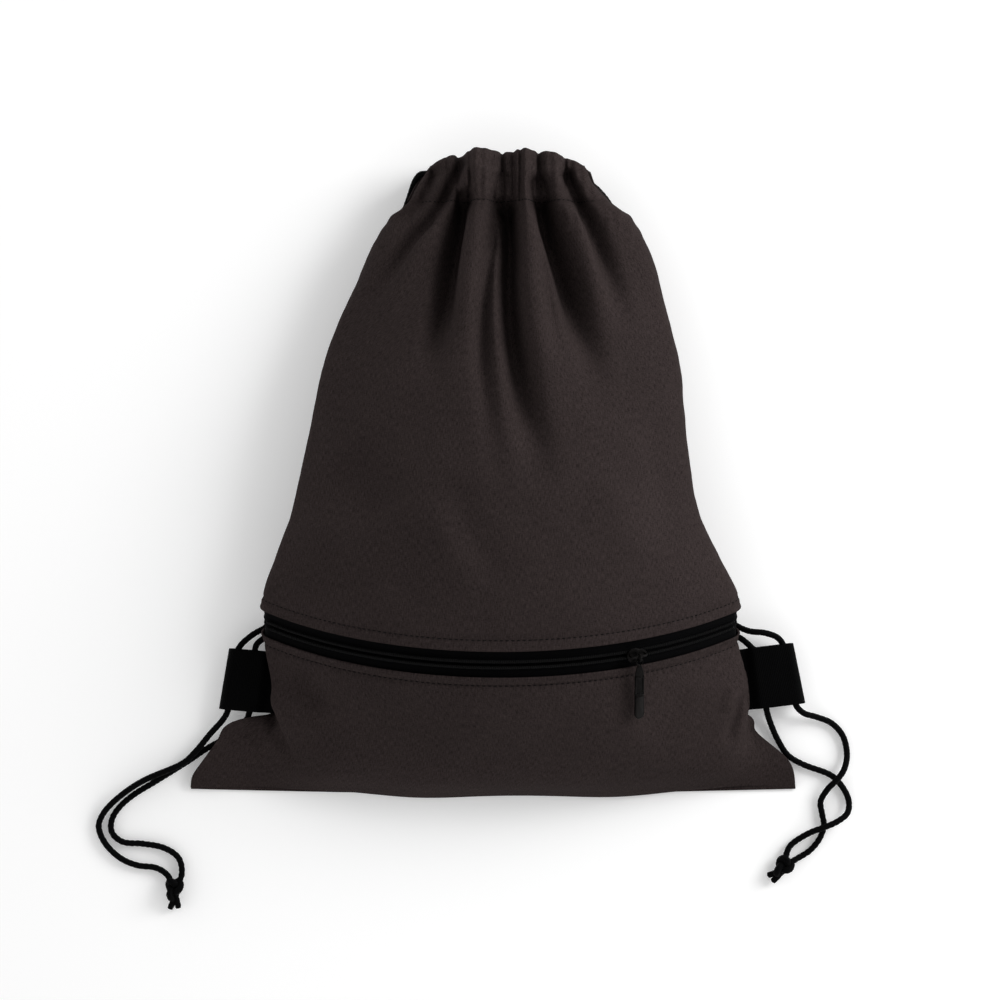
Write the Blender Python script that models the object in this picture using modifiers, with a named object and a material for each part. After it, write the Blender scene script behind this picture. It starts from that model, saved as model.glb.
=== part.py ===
"""Drawstring backpack lying on its back, mouth towards +Y, front panel up. Metres.

The bag is drawn in at the mouth and loosely filled. Its front is a row of arches, each drawn in a
plane that leans down the bag; a curl at each end of an arch tucks the cloth under to the side seam.
Near the bottom corners the two layers lie flat beside the bulge, as flaps.
"""
import math

import bmesh
import bpy
from mathutils import Matrix, Vector

# Driving sizes
CLOTH = 0.0012
GAP = 0.0003
LAYER_ROOM = 0.0011
CORD = 0.004
KNOT_SIZE = (0.017, 0.012, 0.0095)
WEBBING_WIDTH = 0.038
WEBBING = 0.0014
TAPE = 0.0006
LINING = 0.0006
LINING_INSET = 0.0085
HEM_HALF_WIDTH = 0.190
HEM_BULGE_HALF_WIDTH = 0.150
ARCH_LEAST_HEIGHT = 0.040
CURL_RADIUS = 0.012
TOP_STITCH_Y = 0.1665
HEM_Y = -0.190
HEM_ROWS = [HEM_Y, -0.187, -0.184, -0.180, -0.176, -0.168, -0.160, -0.1540, -0.150, -0.140]

# The front, against the height up the bag of a row's two ends
CREST = [(-0.190, 0.0036), (-0.176, 0.0280), (-0.156, 0.0460), (-0.130, 0.0605), (-0.1018, 0.0727),
         (-0.0758, 0.0833), (-0.050, 0.089), (-0.020, 0.091), (0.020, 0.086), (0.060, 0.076),
         (0.100, 0.063), (0.140, 0.049), (0.167, 0.040)]
SIDE_HEIGHT = [(-0.190, 0.006), (-0.156, 0.0125), (-0.1018, 0.0132), (-0.0758, 0.0238),
               (-0.050, 0.026), (0.020, 0.026), (0.100, 0.022), (0.167, 0.018)]
LEAN = [(-0.190, 0.009), (-0.156, 0.018), (-0.1018, 0.0242), (-0.0758, 0.0242), (-0.050, 0.020),
        (0.020, 0.009), (0.100, 0.001), (0.167, 0.0)]
CENTRE = [(-0.190, 0.005), (-0.156, 0.011), (-0.130, 0.010), (-0.1018, 0.0045), (-0.0758, 0.0045),
          (-0.024, 0.001), (0.022, 0.003), (0.090, 0.006), (0.140, 0.0105), (0.167, 0.010)]
HALF_WIDTH = [(-0.190, 0.150), (-0.156, 0.148), (-0.130, 0.1485), (-0.1018, 0.1475),
              (-0.0758, 0.1475), (-0.050, 0.137), (-0.024, 0.1265), (0.022, 0.117), (0.060, 0.112),
              (0.090, 0.104), (0.115, 0.094), (0.140, 0.0815), (0.167, 0.0645)]
LEFT_SEAM = [(-0.190, 0.190), (-0.182, 0.188), (-0.165, 0.173), (-0.1540, 0.163), (-0.1500, 0.139)]
RIGHT_SEAM = [(-0.193, 0.190), (-0.175, 0.185), (-0.160, 0.164), (-0.1525, 0.162), (-0.149, 0.156)]
SEAM_HEIGHT = [(-0.190, 0.0), (-0.184, 0.0024), (-0.176, 0.0052), (-0.160, 0.0064),
               (-0.1540, 0.0062), (-0.150, 0.0044), (-0.100, 0.0044),
               (-0.085, 0.008), (-0.060, 0.011), (0.060, 0.011), (0.120, 0.0100), (0.167, 0.0085)]
TAB_SPREAD = [(-0.160, 0.0), (-0.152, 0.0036), (-0.102, 0.0036), (-0.084, 0.0)]
BACK_BOW = [(-0.190, 0.009), (-0.150, 0.004), (-0.100, 0.0)]
BACK_FLAT = 0.62
SEAM_STEP = 0.0006

# The two channels for the cords at the mouth
CASING_LEFT, CASING_RIGHT = -0.038, 0.049
CASING_LOW, CASING_HIGH = 0.168, 0.197
FRONT_CASING_MIDDLE_Z, FRONT_CASING_END_Z = 0.0325, 0.0225
BACK_CASING_MIDDLE_Z, BACK_CASING_END_Z = 0.0085, 0.0075

# The zip, on the arch whose ends are at ZIP_SIDE_Y
ZIP_SIDE_Y = -0.0888
ZIP_BAND_HALF = 0.009
TAPE_HALF = 0.0118
TAPE_INSET = CLOTH + 0.0004
CHAIN_SLIT_HALF = 0.0008
COIL_RADIUS = 0.0011
COIL_OFFSET = 0.0019
SLIDER_ANGLE = math.radians(22.5)
SLIDER_LENGTH = 0.013
SLIDER_HALF_WIDTH = 0.0045
CROWN_HEIGHT = 0.0030
CROWN_WIRE = 0.0007
RING_RADIUS = 0.0022
RING_WIRE = 0.0005
PULL_LENGTH = 0.041
PULL_WIDTH = 0.006
PULL_THICKNESS = 0.0014
PULL_DIP = math.radians(-2)


def clear_scene():
    for item in list(bpy.data.objects):
        bpy.data.objects.remove(item, do_unlink=True)


def new_collection(name):
    collection = bpy.data.collections.new(name)
    bpy.context.scene.collection.children.link(collection)
    return collection


def material(name, colour, roughness, metallic=0.0):
    made = bpy.data.materials.new(name)
    made.use_nodes = True
    shader = made.node_tree.nodes["Principled BSDF"]
    shader.inputs["Base Color"].default_value = (*colour, 1.0)
    shader.inputs["Roughness"].default_value = roughness
    shader.inputs["Metallic"].default_value = metallic
    return made


def add(name, data, finish, parent=None):
    """An object of this mesh or curve in the backpack's collection."""
    made = bpy.data.objects.new(name, data)
    data.materials.append(finish)
    backpack.objects.link(made)
    if parent:
        made.parent = parent
        made.matrix_parent_inverse = parent.matrix_world.inverted()
    return made


def profile(table, at):
    """Smooth value at one place of a hand-drawn table of (place, value) pairs."""
    at = min(max(at, table[0][0]), table[-1][0])
    first = 0
    while first < len(table) - 2 and table[first + 1][0] < at:
        first += 1

    def slope(i):
        low, high = table[max(i - 1, 0)], table[min(i + 1, len(table) - 1)]
        return (high[1] - low[1]) / (high[0] - low[0])

    (start, a), (end, b) = table[first], table[first + 1]
    span = end - start
    t = (at - start) / span
    return ((2 * t**3 - 3 * t**2 + 1) * a + (t**3 - 2 * t**2 + t) * span * slope(first)
            + (3 * t**2 - 2 * t**3) * b + (t**3 - t**2) * span * slope(first + 1))


def seam_height(side_y):
    """Height of the back panel's outer face at the side seam."""
    return profile(SEAM_HEIGHT, side_y)


def front_seam_height(side_y):
    """Height of the front panel's outer face there, with room for both layers and the webbing."""
    return seam_height(side_y) + 2 * CLOTH + LAYER_ROOM + profile(TAB_SPREAD, side_y)


def seam_x(side_y, side):
    """How far out the side seam lies, from the bag's middle line."""
    bulge = profile(HALF_WIDTH, side_y) - 0.29 * CURL_RADIUS + side * profile(CENTRE, side_y)
    table = LEFT_SEAM if side < 0 else RIGHT_SEAM
    if side_y > table[-1][0]:
        return bulge + SEAM_STEP
    return max(profile(table, side_y), bulge + SEAM_STEP)


class Arch:
    """One row of the front: a round arch with a curl at each end, in a plane that leans."""

    def __init__(self, side_y, inset=0.0):
        self.side_y = side_y
        self.inset = inset
        self.side_z = profile(SIDE_HEIGHT, side_y)
        self.lean = profile(LEAN, side_y)
        self.centre = profile(CENTRE, side_y)
        self.crest = profile(CREST, side_y)
        self.seam_z = front_seam_height(side_y)
        tall = max(self.crest, ARCH_LEAST_HEIGHT)
        self.flatness = (self.crest - self.seam_z) / (tall - self.seam_z)
        self.tall = tall
        self.drop = math.hypot(tall - self.side_z, self.lean)
        half = profile(HALF_WIDTH, side_y)
        self.turn = 2 * math.atan((self.drop - CURL_RADIUS) / (half - CURL_RADIUS))
        self.radius = CURL_RADIUS + (half - CURL_RADIUS) / math.sin(self.turn)
        tuck = (self.side_z - self.seam_z) * self.drop / (CURL_RADIUS * (tall - self.side_z))
        self.end = math.pi / 2 + math.asin(min(max(tuck, 0.0), 0.95))

    def point(self, angle):
        """The point where the surface has turned this far from its crest; negative is left."""
        size = abs(angle)
        side = math.copysign(1.0, angle)
        big = self.radius - self.inset
        if size <= self.turn:
            out, down = big * math.sin(size), self.radius - big * math.cos(size)
        else:
            small = CURL_RADIUS - self.inset
            shift = self.radius - CURL_RADIUS
            out = shift * math.sin(self.turn) + small * math.sin(size)
            down = self.radius - shift * math.cos(self.turn) - small * math.cos(size)
        share = down / self.drop
        z = self.tall - (self.tall - self.side_z) * share
        y = self.side_y - self.lean * (1 - share)
        length = big * min(size, self.turn) + CURL_RADIUS * max(size - self.turn, 0)
        whole = big * self.turn + CURL_RADIUS * (self.end - self.turn)
        level_x = HEM_BULGE_HALF_WIDTH * length / whole
        x = level_x + (out - level_x) * self.flatness
        z = self.seam_z + (z - self.seam_z) * self.flatness
        return Vector((self.centre + side * x, y, z))

    def angles(self, main, curl):
        right = [self.turn * i / main for i in range(1, main + 1)]
        right += [self.turn + (self.end - self.turn) * i / curl for i in range(1, curl + 1)]
        return [-a for a in reversed(right)] + [0.0] + right

    def flap(self, side, steps):
        """Points from the foot of the bulge out to the seam."""
        foot = self.point(side * self.end)
        seam = Vector((side * seam_x(self.side_y, side), self.side_y, self.seam_z))
        return [foot.lerp(seam, i / steps) for i in range(1, steps + 1)]

    def across(self, main, curl, flap):
        body = [self.point(a) for a in self.angles(main, curl)]
        return list(reversed(self.flap(-1, flap))) + body + self.flap(1, flap)


def grid_mesh(name, rows, flip=False):
    """A smooth open sheet through rows of points."""
    shape = bmesh.new()
    lines = [[shape.verts.new(p) for p in row] for row in rows]
    for low, high in zip(lines, lines[1:]):
        for i in range(len(low) - 1):
            corners = (low[i], low[i + 1], high[i + 1], high[i])
            shape.faces.new(reversed(corners) if flip else corners)
    mesh = bpy.data.meshes.new(name)
    shape.to_mesh(mesh)
    shape.free()
    mesh.shade_smooth()
    return mesh


def sheet(name, rows, thickness, finish, flip=False):
    """A sheet of cloth whose outer face is the grid of points."""
    made = add(name, grid_mesh(name, rows, flip), finish)
    shell = made.modifiers.new("thickness", "SOLIDIFY")
    shell.thickness = thickness
    shell.offset = -1.0
    return made


def zip_axes():
    """Up the bag along the zip's surface, and out of it at its crest."""
    arch = Arch(ZIP_SIDE_Y)
    rise = arch.tall - arch.side_z
    out = Vector((0.0, -arch.lean, rise)).normalized()
    return Vector((0.0, out.z, -out.y)), out


def zip_row(distance, inset, points):
    """A row of points on the zip's own cylinder, this far up the bag from the zip's middle."""
    up, _ = zip_axes()
    return [p + up * distance for p in points(Arch(ZIP_SIDE_Y, inset))]


def at_angles(angles):
    """For zip_row: the arch's points at the angles that this function gives."""
    return lambda arch: [arch.point(a) for a in angles(arch)]


def between(start, end, steps):
    return [start + (end - start) * i / steps for i in range(steps + 1)]


def make_front_panels(cloth):
    def across(arch):
        return arch.across(9, 3, 2)

    near, far = ZIP_BAND_HALF, TAPE_HALF + 0.0007
    upper = [zip_row(near, 0.0, across), zip_row(far, 0.0, across)]
    upper += [across(Arch(y)) for y in between(-0.060, TOP_STITCH_Y, 12)]
    sheet("front_panel_upper", upper, CLOTH, cloth)
    lower = [across(Arch(y)) for y in HEM_ROWS + [-0.128, -0.115, -0.106]]
    lower += [zip_row(-far, 0.0, across), zip_row(-near, 0.0, across)]
    sheet("front_panel_lower", lower, CLOTH, cloth)


def back_row(side_y, steps):
    """One row of the back: flat on the ground in the middle, rising to the side seams."""
    row = []
    for i in range(2 * steps + 1):
        share = (i - steps) / steps
        side = -1 if share < 0 else 1
        size = abs(share)
        rise = max(0.0, (size - BACK_FLAT) / (1 - BACK_FLAT)) ** 2
        x = side * size * seam_x(side_y, side)
        y = side_y - profile(BACK_BOW, side_y) * (1 - size**2)
        row.append(Vector((x, y, seam_height(side_y) * rise)))
    return row


def make_back_panel(cloth):
    rows = HEM_ROWS + [-0.128, -0.115, -0.106, -0.092, -0.080]
    rows += between(-0.055, TOP_STITCH_Y, 9)
    sheet("back_panel", [back_row(y, 10) for y in rows], CLOTH, cloth, flip=True)


def make_pocket_lining(lining):
    """The thin back wall of the zipped pocket, inside the bag."""
    reach = 0.8

    def row(arch):
        return [arch.point(a) for a in between(-arch.turn * reach, arch.turn * reach, 12)]

    rows = [row(Arch(y, LINING_INSET)) for y in (-0.160, -0.150, -0.135, -0.118)]
    rows += [zip_row(d, LINING_INSET, row) for d in (-0.010, 0.012)]
    sheet("pocket_lining", rows, LINING, lining)


def make_casing(name, middle_z, end_z, half_thick, cloth):
    """A channel for the cords: a flat tube of cloth along X, open at both ends."""
    middle_x = (CASING_LEFT + CASING_RIGHT) / 2
    reach = (CASING_RIGHT - CASING_LEFT) / 2
    middle_y = (CASING_LOW + CASING_HIGH) / 2
    sides, stations = 14, 9
    shape = bmesh.new()
    loops = []
    for wall in (0.0, CLOTH):
        rings = []
        for x in between(CASING_LEFT, CASING_RIGHT, stations):
            bend = ((x - middle_x) / reach) ** 2
            z = middle_z + (end_z - middle_z) * bend
            ring = []
            for i in range(sides):
                turn = 2 * math.pi * i / sides
                y = middle_y + ((CASING_HIGH - CASING_LOW) / 2 - wall) * math.cos(turn)
                ring.append(shape.verts.new((x, y, z + (half_thick - wall) * math.sin(turn))))
            rings.append(ring)
        loops.append(rings)
    outer, inner = loops
    for i in range(sides):
        j = (i + 1) % sides
        for a, b in zip(outer, outer[1:]):
            shape.faces.new((a[i], a[j], b[j], b[i]))
        for a, b in zip(inner, inner[1:]):
            shape.faces.new((b[i], b[j], a[j], a[i]))
        shape.faces.new((inner[0][i], inner[0][j], outer[0][j], outer[0][i]))
        shape.faces.new((outer[-1][i], outer[-1][j], inner[-1][j], inner[-1][i]))
    bmesh.ops.recalc_face_normals(shape, faces=shape.faces)
    mesh = bpy.data.meshes.new(name)
    shape.to_mesh(mesh)
    shape.free()
    mesh.shade_smooth()
    add(name, mesh, cloth)


def make_tapes(tape):
    def angles(arch):
        return arch.angles(16, 3)

    for name, low, high in (("zip_tape_upper", CHAIN_SLIT_HALF, TAPE_HALF),
                            ("zip_tape_lower", -TAPE_HALF, -CHAIN_SLIT_HALF)):
        rows = [zip_row(edge, TAPE_INSET, at_angles(angles)) for edge in (low, high)]
        sheet(name, rows, TAPE, tape)


def line_curve(name, points, radius, finish, closed=False, parent=None):
    """A round tube through these points."""
    data = bpy.data.curves.new(name, "CURVE")
    data.dimensions = "3D"
    data.bevel_depth = radius
    data.bevel_resolution = 2
    data.use_fill_caps = not closed
    spline = data.splines.new("POLY")
    spline.points.add(len(points) - 1)
    for made, p in zip(spline.points, points):
        made.co = (*p, 1.0)
    spline.use_cyclic_u = closed
    return add(name, data, finish, parent)


def make_coils(tape):
    inset = TAPE_INSET - GAP - COIL_RADIUS

    def angles(arch):
        return between(-arch.turn, arch.turn, 30)

    for name, offset in (("zip_coil_upper", COIL_OFFSET), ("zip_coil_lower", -COIL_OFFSET)):
        line_curve(name, zip_row(offset, inset, at_angles(angles)), COIL_RADIUS, tape)


def slider_frame():
    """Place and axes of the slider: along the zip, up the bag, and out of the cloth."""
    arch = Arch(ZIP_SIDE_Y)
    up, outward = zip_axes()
    crest = arch.point(0.0)
    axis_point = crest - outward * arch.radius
    out = Vector((math.sin(SLIDER_ANGLE), 0, 0)) + outward * math.cos(SLIDER_ANGLE)
    along = Vector((math.cos(SLIDER_ANGLE), 0, 0)) - outward * math.sin(SLIDER_ANGLE)
    place = Matrix((along, up, out)).transposed().to_4x4()
    place.translation = axis_point + out * arch.radius
    return place, axis_point, up


def joint_empty(name, matrix, parent=None):
    made = bpy.data.objects.new(name, None)
    made.empty_display_size = 0.01
    backpack.objects.link(made)
    made.matrix_world = matrix
    if parent:
        made.parent = parent
        made.matrix_parent_inverse = parent.matrix_world.inverted()
    return made


def outline_curve(name, loops, half_depth, finish):
    """A flat outline, with any holes, given a depth of twice half_depth."""
    data = bpy.data.curves.new(name, "CURVE")
    data.dimensions = "2D"
    data.fill_mode = "BOTH"
    data.extrude = half_depth
    for loop in loops:
        spline = data.splines.new("POLY")
        spline.points.add(len(loop) - 1)
        for made, (x, y) in zip(spline.points, loop):
            made.co = (x, y, 0.0, 1.0)
        spline.use_cyclic_u = True
    return add(name, data, finish)


def make_slider(metal, place, axis_point):
    """Two plates joined by a web that runs in the slit of the chain, with a crown on top."""
    pivot = joint_empty("zip_slide_axis", Matrix.Translation(axis_point))
    top, bottom = 0.0023, -0.0036
    plate_under, plate_over = 0.0012, -0.0025
    wide, web = SLIDER_HALF_WIDTH, 0.00045
    outline = [(-wide, bottom), (wide, bottom), (wide, plate_over), (web, plate_over),
               (web, plate_under), (wide, plate_under), (wide, top), (-wide, top),
               (-wide, plate_under), (-web, plate_under), (-web, plate_over), (-wide, plate_over)]
    body = outline_curve("zip_slider", [outline], SLIDER_LENGTH / 2, metal)
    turn = Matrix(((0, 0, 1), (1, 0, 0), (0, 1, 0))).to_4x4()
    body.matrix_world = place @ turn
    body.parent = pivot
    body.matrix_parent_inverse = pivot.matrix_world.inverted()

    reach = SLIDER_LENGTH / 2 - 0.0015
    foot = top + GAP
    height = top + CROWN_HEIGHT
    bow = [(-reach, foot), (-reach, height - 0.0012), (-reach + 0.0004, height - 0.0004),
           (-reach + 0.0012, height), (reach - 0.0012, height), (reach - 0.0004, height - 0.0004),
           (reach, height - 0.0012), (reach, foot)]
    points = [place @ Vector((x, 0.0, z)) for x, z in bow]
    line_curve("slider_crown", points, CROWN_WIRE, metal, parent=pivot)
    bar = place @ Vector((0.0, 0.0, height))
    return pivot, bar


def make_pull(metal, place, bar, pivot):
    """A small ring on the crown's bar, and the long pull whose round eye hangs in the ring."""
    dip = place @ Matrix.Rotation(PULL_DIP, 4, "X")
    dip.translation = bar
    flip = joint_empty("pull_flip_axis", dip, pivot)
    ring_shift = -(RING_RADIUS - RING_WIRE - CROWN_WIRE - GAP)
    ring = []
    for i in range(20):
        turn = 2 * math.pi * i / 20
        ring.append(dip @ Vector((0.0, ring_shift + RING_RADIUS * math.cos(turn),
                                  RING_RADIUS * math.sin(turn))))
    line_curve("pull_ring", ring, RING_WIRE, metal, closed=True, parent=flip)

    eye_radius, eye_hole = 0.0023, 0.0015
    eye_y = -(CROWN_WIRE + GAP + eye_radius + 0.0001)
    half = PULL_WIDTH / 2
    tip_y = -PULL_LENGTH + half
    outline = [(half * math.cos(a), tip_y - eye_y + half * math.sin(a))
               for a in between(math.pi, 2 * math.pi, 10)]
    outline += [(half, -0.009), (0.0022, -0.005)]
    outline += [(eye_radius * math.cos(a), eye_radius * math.sin(a))
                for a in between(-math.pi / 4, math.pi * 5 / 4, 12)]
    outline += [(-0.0022, -0.005), (-half, -0.009)]
    hole = [(eye_hole * math.cos(a), eye_hole * math.sin(a))
            for a in between(0, 2 * math.pi * 15 / 16, 15)]
    swing = joint_empty("pull_swivel_axis", dip @ Matrix.Translation((0.0, eye_y, 0.0)), flip)
    tab = outline_curve("pull_tab", [outline, hole], PULL_THICKNESS / 2, metal)
    tab.matrix_world = swing.matrix_world.copy()
    tab.parent = swing
    tab.matrix_parent_inverse = swing.matrix_world.inverted()


def make_side_tab(name, foot, lean, length, webbing):
    """A loop of webbing folded round the cords; its two ends are stitched into the side seam."""
    thick = 2 * WEBBING + GAP
    round_half = 0.0048
    steps = 8

    def half_at(x):
        t = min(max((x - 0.0085) / 0.006, 0.0), 1.0)
        return thick / 2 + (round_half - thick / 2) * t * t * (3 - 2 * t)

    lower = [(x, -half_at(x)) for x in (0.0, 0.0085, 0.0105, 0.0125, 0.0145)]
    nose = [(length - round_half + round_half * math.sin(a), -round_half * math.cos(a))
            for a in between(0.0, math.pi, steps)]
    outer = lower + nose + [(x, -z) for x, z in reversed(lower)]
    inner_half = round_half - WEBBING
    inner_low = [(0.0098, -GAP / 2), (0.0125, WEBBING - half_at(0.0125)), (0.0148, -inner_half)]
    inner_nose = [(length - round_half + inner_half * math.sin(a), -inner_half * math.cos(a))
                  for a in between(0.0, math.pi, steps)]
    inner = inner_low + inner_nose + [(x, -z) for x, z in reversed(inner_low)]
    side = -1 if foot.x < 0 else 1
    made = outline_curve(name, [outer, inner], WEBBING_WIDTH / 2, webbing)
    down = Vector((side * math.sin(lean), -math.cos(lean), 0.0))
    out = Vector((side * math.cos(lean), math.sin(lean), 0.0))
    up = Vector((0.0, 0.0, 1.0))
    if out.cross(up).dot(down) < 0:
        down = -down
    place = Matrix((out, up, down)).transposed().to_4x4()
    place.translation = foot
    made.matrix_world = place


def smooth_route(points, step):
    """Evenly spaced points on a smooth curve through a hand-drawn route."""
    points = [Vector(p) for p in points]
    ends = [points[0] * 2 - points[1]] + points + [points[-1] * 2 - points[-2]]
    fine = []
    for a, b, c, d in zip(ends, ends[1:], ends[2:], ends[3:]):
        for i in range(12):
            t = i / 12
            fine.append(0.5 * (2 * b + (c - a) * t + (2 * a - 5 * b + 4 * c - d) * t * t
                               + (3 * b - a - 3 * c + d) * t**3))
    fine.append(points[-1])
    total = sum((b - a).length for a, b in zip(fine, fine[1:]))
    count = max(2, round(total / step))
    placed, walked, target = [fine[0]], 0.0, total / count
    for a, b in zip(fine, fine[1:]):
        length = (b - a).length
        while length and walked + length >= target - 1e-9 and len(placed) < count:
            placed.append(a.lerp(b, (target - walked) / length))
            target += total / count
        walked += length
    placed.append(fine[-1])
    return [Vector((p.x, p.y, max(p.z, CORD / 2))) for p in placed]


# The cords' routes. Each strand runs from the casing's mouth, behind the bag's edge, through the
# webbing loop and out along the ground to its knot.
LEFT_A = [(-0.0407, 0.1870, 0.0225), (-0.0455, 0.1866, 0.0205), (-0.0492, 0.1825, 0.0150),
          (-0.0524, 0.1745, 0.0085), (-0.0562, 0.1650, 0.0040), (-0.0630, 0.1500, 0.0022),
          (-0.0755, 0.1220, 0.0022), (-0.0920, 0.0850, 0.0022), (-0.1045, 0.0300, 0.0022),
          (-0.1165, -0.0300, 0.0022), (-0.1255, -0.0680, 0.0022), (-0.1350, -0.0880, 0.0020),
          (-0.1425, -0.0945, 0.0022), (-0.1510, -0.0995, 0.0060), (-0.1585, -0.1065, 0.0078),
          (-0.1622, -0.1160, 0.0078), (-0.1635, -0.1250, 0.0078), (-0.1655, -0.1440, 0.0078),
          (-0.1690, -0.1520, 0.0070), (-0.1770, -0.1610, 0.0060), (-0.1870, -0.1730, 0.0062),
          (-0.1960, -0.1805, 0.0068), (-0.2160, -0.1890, 0.0068), (-0.2280, -0.1960, 0.0068),
          (-0.2390, -0.2050, 0.0058), (-0.2455, -0.2130, 0.0032), (-0.2475, -0.2210, 0.0022),
          (-0.2430, -0.2310, 0.0022), (-0.2340, -0.2395, 0.0022), (-0.2235, -0.2440, 0.0022),
          (-0.2120, -0.2455, 0.0024), (-0.2045, -0.2500, 0.0030)]
LEFT_B = [(-0.0409, 0.1870, 0.0075), (-0.0450, 0.1868, 0.0066), (-0.0480, 0.1790, 0.0028),
          (-0.0506, 0.1680, 0.0022), (-0.0575, 0.1500, 0.0022), (-0.0692, 0.1220, 0.0022),
          (-0.0860, 0.0850, 0.0022), (-0.0985, 0.0300, 0.0022), (-0.1105, -0.0300, 0.0022),
          (-0.1190, -0.0670, 0.0022), (-0.1280, -0.0890, 0.0020), (-0.1375, -0.0985, 0.0020),
          (-0.1448, -0.1022, 0.0046), (-0.1490, -0.1080, 0.0078), (-0.1495, -0.1250, 0.0076),
          (-0.1512, -0.1430, 0.0074), (-0.1528, -0.1481, 0.0070), (-0.1560, -0.1540, 0.0024),
          (-0.1680, -0.1640, 0.0022), (-0.1810, -0.1715, 0.0022), (-0.1920, -0.1790, 0.0022),
          (-0.2130, -0.1920, 0.0022), (-0.2260, -0.2000, 0.0022), (-0.2350, -0.2080, 0.0022),
          (-0.2395, -0.2160, 0.0022), (-0.2390, -0.2240, 0.0022), (-0.2320, -0.2295, 0.0022),
          (-0.2200, -0.2305, 0.0022), (-0.2070, -0.2330, 0.0022), (-0.1975, -0.2395, 0.0022),
          (-0.1955, -0.2500, 0.0030)]
RIGHT_A = [(0.0527, 0.1780, 0.0225), (0.0570, 0.1798, 0.0205), (0.0615, 0.1803, 0.0160),
           (0.0672, 0.1762, 0.0092), (0.0722, 0.1705, 0.0045), (0.0772, 0.1620, 0.0022),
           (0.0860, 0.1430, 0.0022), (0.0960, 0.1150, 0.0022), (0.1060, 0.0800, 0.0022),
           (0.1130, 0.0300, 0.0022), (0.1225, -0.0250, 0.0022), (0.1345, -0.0640, 0.0022),
           (0.1440, -0.0860, 0.0020), (0.1520, -0.0935, 0.0024), (0.1600, -0.0970, 0.0070),
           (0.1695, -0.0980, 0.0092), (0.1780, -0.1015, 0.0086), (0.1822, -0.1095, 0.0078),
           (0.1845, -0.1240, 0.0078), (0.1880, -0.1410, 0.0078), (0.1935, -0.1480, 0.0062),
           (0.2025, -0.1510, 0.0034), (0.2120, -0.1550, 0.0022), (0.2190, -0.1630, 0.0022),
           (0.2215, -0.1740, 0.0024), (0.2195, -0.1830, 0.0056), (0.2150, -0.1895, 0.0070),
           (0.2090, -0.1960, 0.0052), (0.2050, -0.2040, 0.0022), (0.2060, -0.2120, 0.0022),
           (0.2070, -0.2190, 0.0022), (0.2045, -0.2270, 0.0022), (0.1985, -0.2345, 0.0022),
           (0.1905, -0.2395, 0.0030)]
RIGHT_B = [(0.0527, 0.1780, 0.0075), (0.0580, 0.1774, 0.0060), (0.0645, 0.1710, 0.0028),
           (0.0700, 0.1580, 0.0022), (0.0800, 0.1390, 0.0022), (0.0895, 0.1150, 0.0022),
           (0.0995, 0.0800, 0.0022), (0.1070, 0.0300, 0.0022), (0.1165, -0.0250, 0.0022),
           (0.1285, -0.0660, 0.0022), (0.1380, -0.0890, 0.0020), (0.1475, -0.0980, 0.0020),
           (0.1550, -0.1018, 0.0048), (0.1610, -0.1070, 0.0078), (0.1665, -0.1130, 0.0078),
           (0.1685, -0.1250, 0.0078), (0.1700, -0.1430, 0.0074), (0.1735, -0.1550, 0.0036),
           (0.1790, -0.1670, 0.0022), (0.1850, -0.1755, 0.0022), (0.1950, -0.1812, 0.0022),
           (0.2105, -0.1870, 0.0022), (0.2180, -0.1940, 0.0022), (0.2225, -0.2030, 0.0022),
           (0.2215, -0.2110, 0.0044), (0.2150, -0.2160, 0.0066), (0.2070, -0.2195, 0.0070),
           (0.1980, -0.2232, 0.0052), (0.1890, -0.2290, 0.0026), (0.1845, -0.2340, 0.0030)]


def make_strands(cord):
    for name, route in (("left_cord_strand_a", LEFT_A), ("left_cord_strand_b", LEFT_B),
                        ("right_cord_strand_a", RIGHT_A), ("right_cord_strand_b", RIGHT_B)):
        line_curve(name, smooth_route(route, 0.0090), CORD / 2, cord)


def make_casing_cords(cord):
    """Each cord runs in through the front casing, turns round at the far side and comes back."""
    front_middle, front_end = FRONT_CASING_MIDDLE_Z, FRONT_CASING_END_Z
    back_middle, back_end = BACK_CASING_MIDDLE_Z, BACK_CASING_END_Z
    middle, reach = (CASING_LEFT + CASING_RIGHT) / 2, (CASING_RIGHT - CASING_LEFT) / 2
    for name, start, far, y, side in (
            ("left_cord_in_casing", -0.0400 + GAP, 0.0490, 0.1870, 1),
            ("right_cord_in_casing", 0.0520 - GAP, -0.0380, 0.1780, -1)):
        route = [(start, y, front_end)]
        for share in (0.75, 0.4, 0.0, -0.4, -0.75):
            x = middle - side * reach * share
            bend = share**2
            route.append((x, y, front_middle + (front_end - front_middle) * bend))
        turn_z = (front_end + back_end) / 2
        turn_radius = (front_end - back_end) / 2
        for a in between(math.pi / 2, -math.pi / 2, 6):
            route.append((far + side * (0.001 + turn_radius * math.cos(a)), y,
                          turn_z + turn_radius * math.sin(a)))
        for share in (-0.75, -0.4, 0.0, 0.4, 0.75):
            x = middle - side * reach * share
            route.append((x, y, back_middle + (back_end - back_middle) * share**2))
        route.append((start, y, back_end))
        line_curve(name, smooth_route(route, 0.008), CORD / 2, cord)


def make_knot(name, centre, heading, cord):
    mesh = bpy.data.meshes.new(name)
    shape = bmesh.new()
    bmesh.ops.create_uvsphere(shape, u_segments=14, v_segments=9, radius=0.5)
    bmesh.ops.scale(shape, vec=KNOT_SIZE, verts=shape.verts)
    shape.to_mesh(mesh)
    shape.free()
    mesh.shade_smooth()
    made = add(name, mesh, cord)
    made.location = centre
    made.rotation_euler = (0.0, 0.0, heading)


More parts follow.
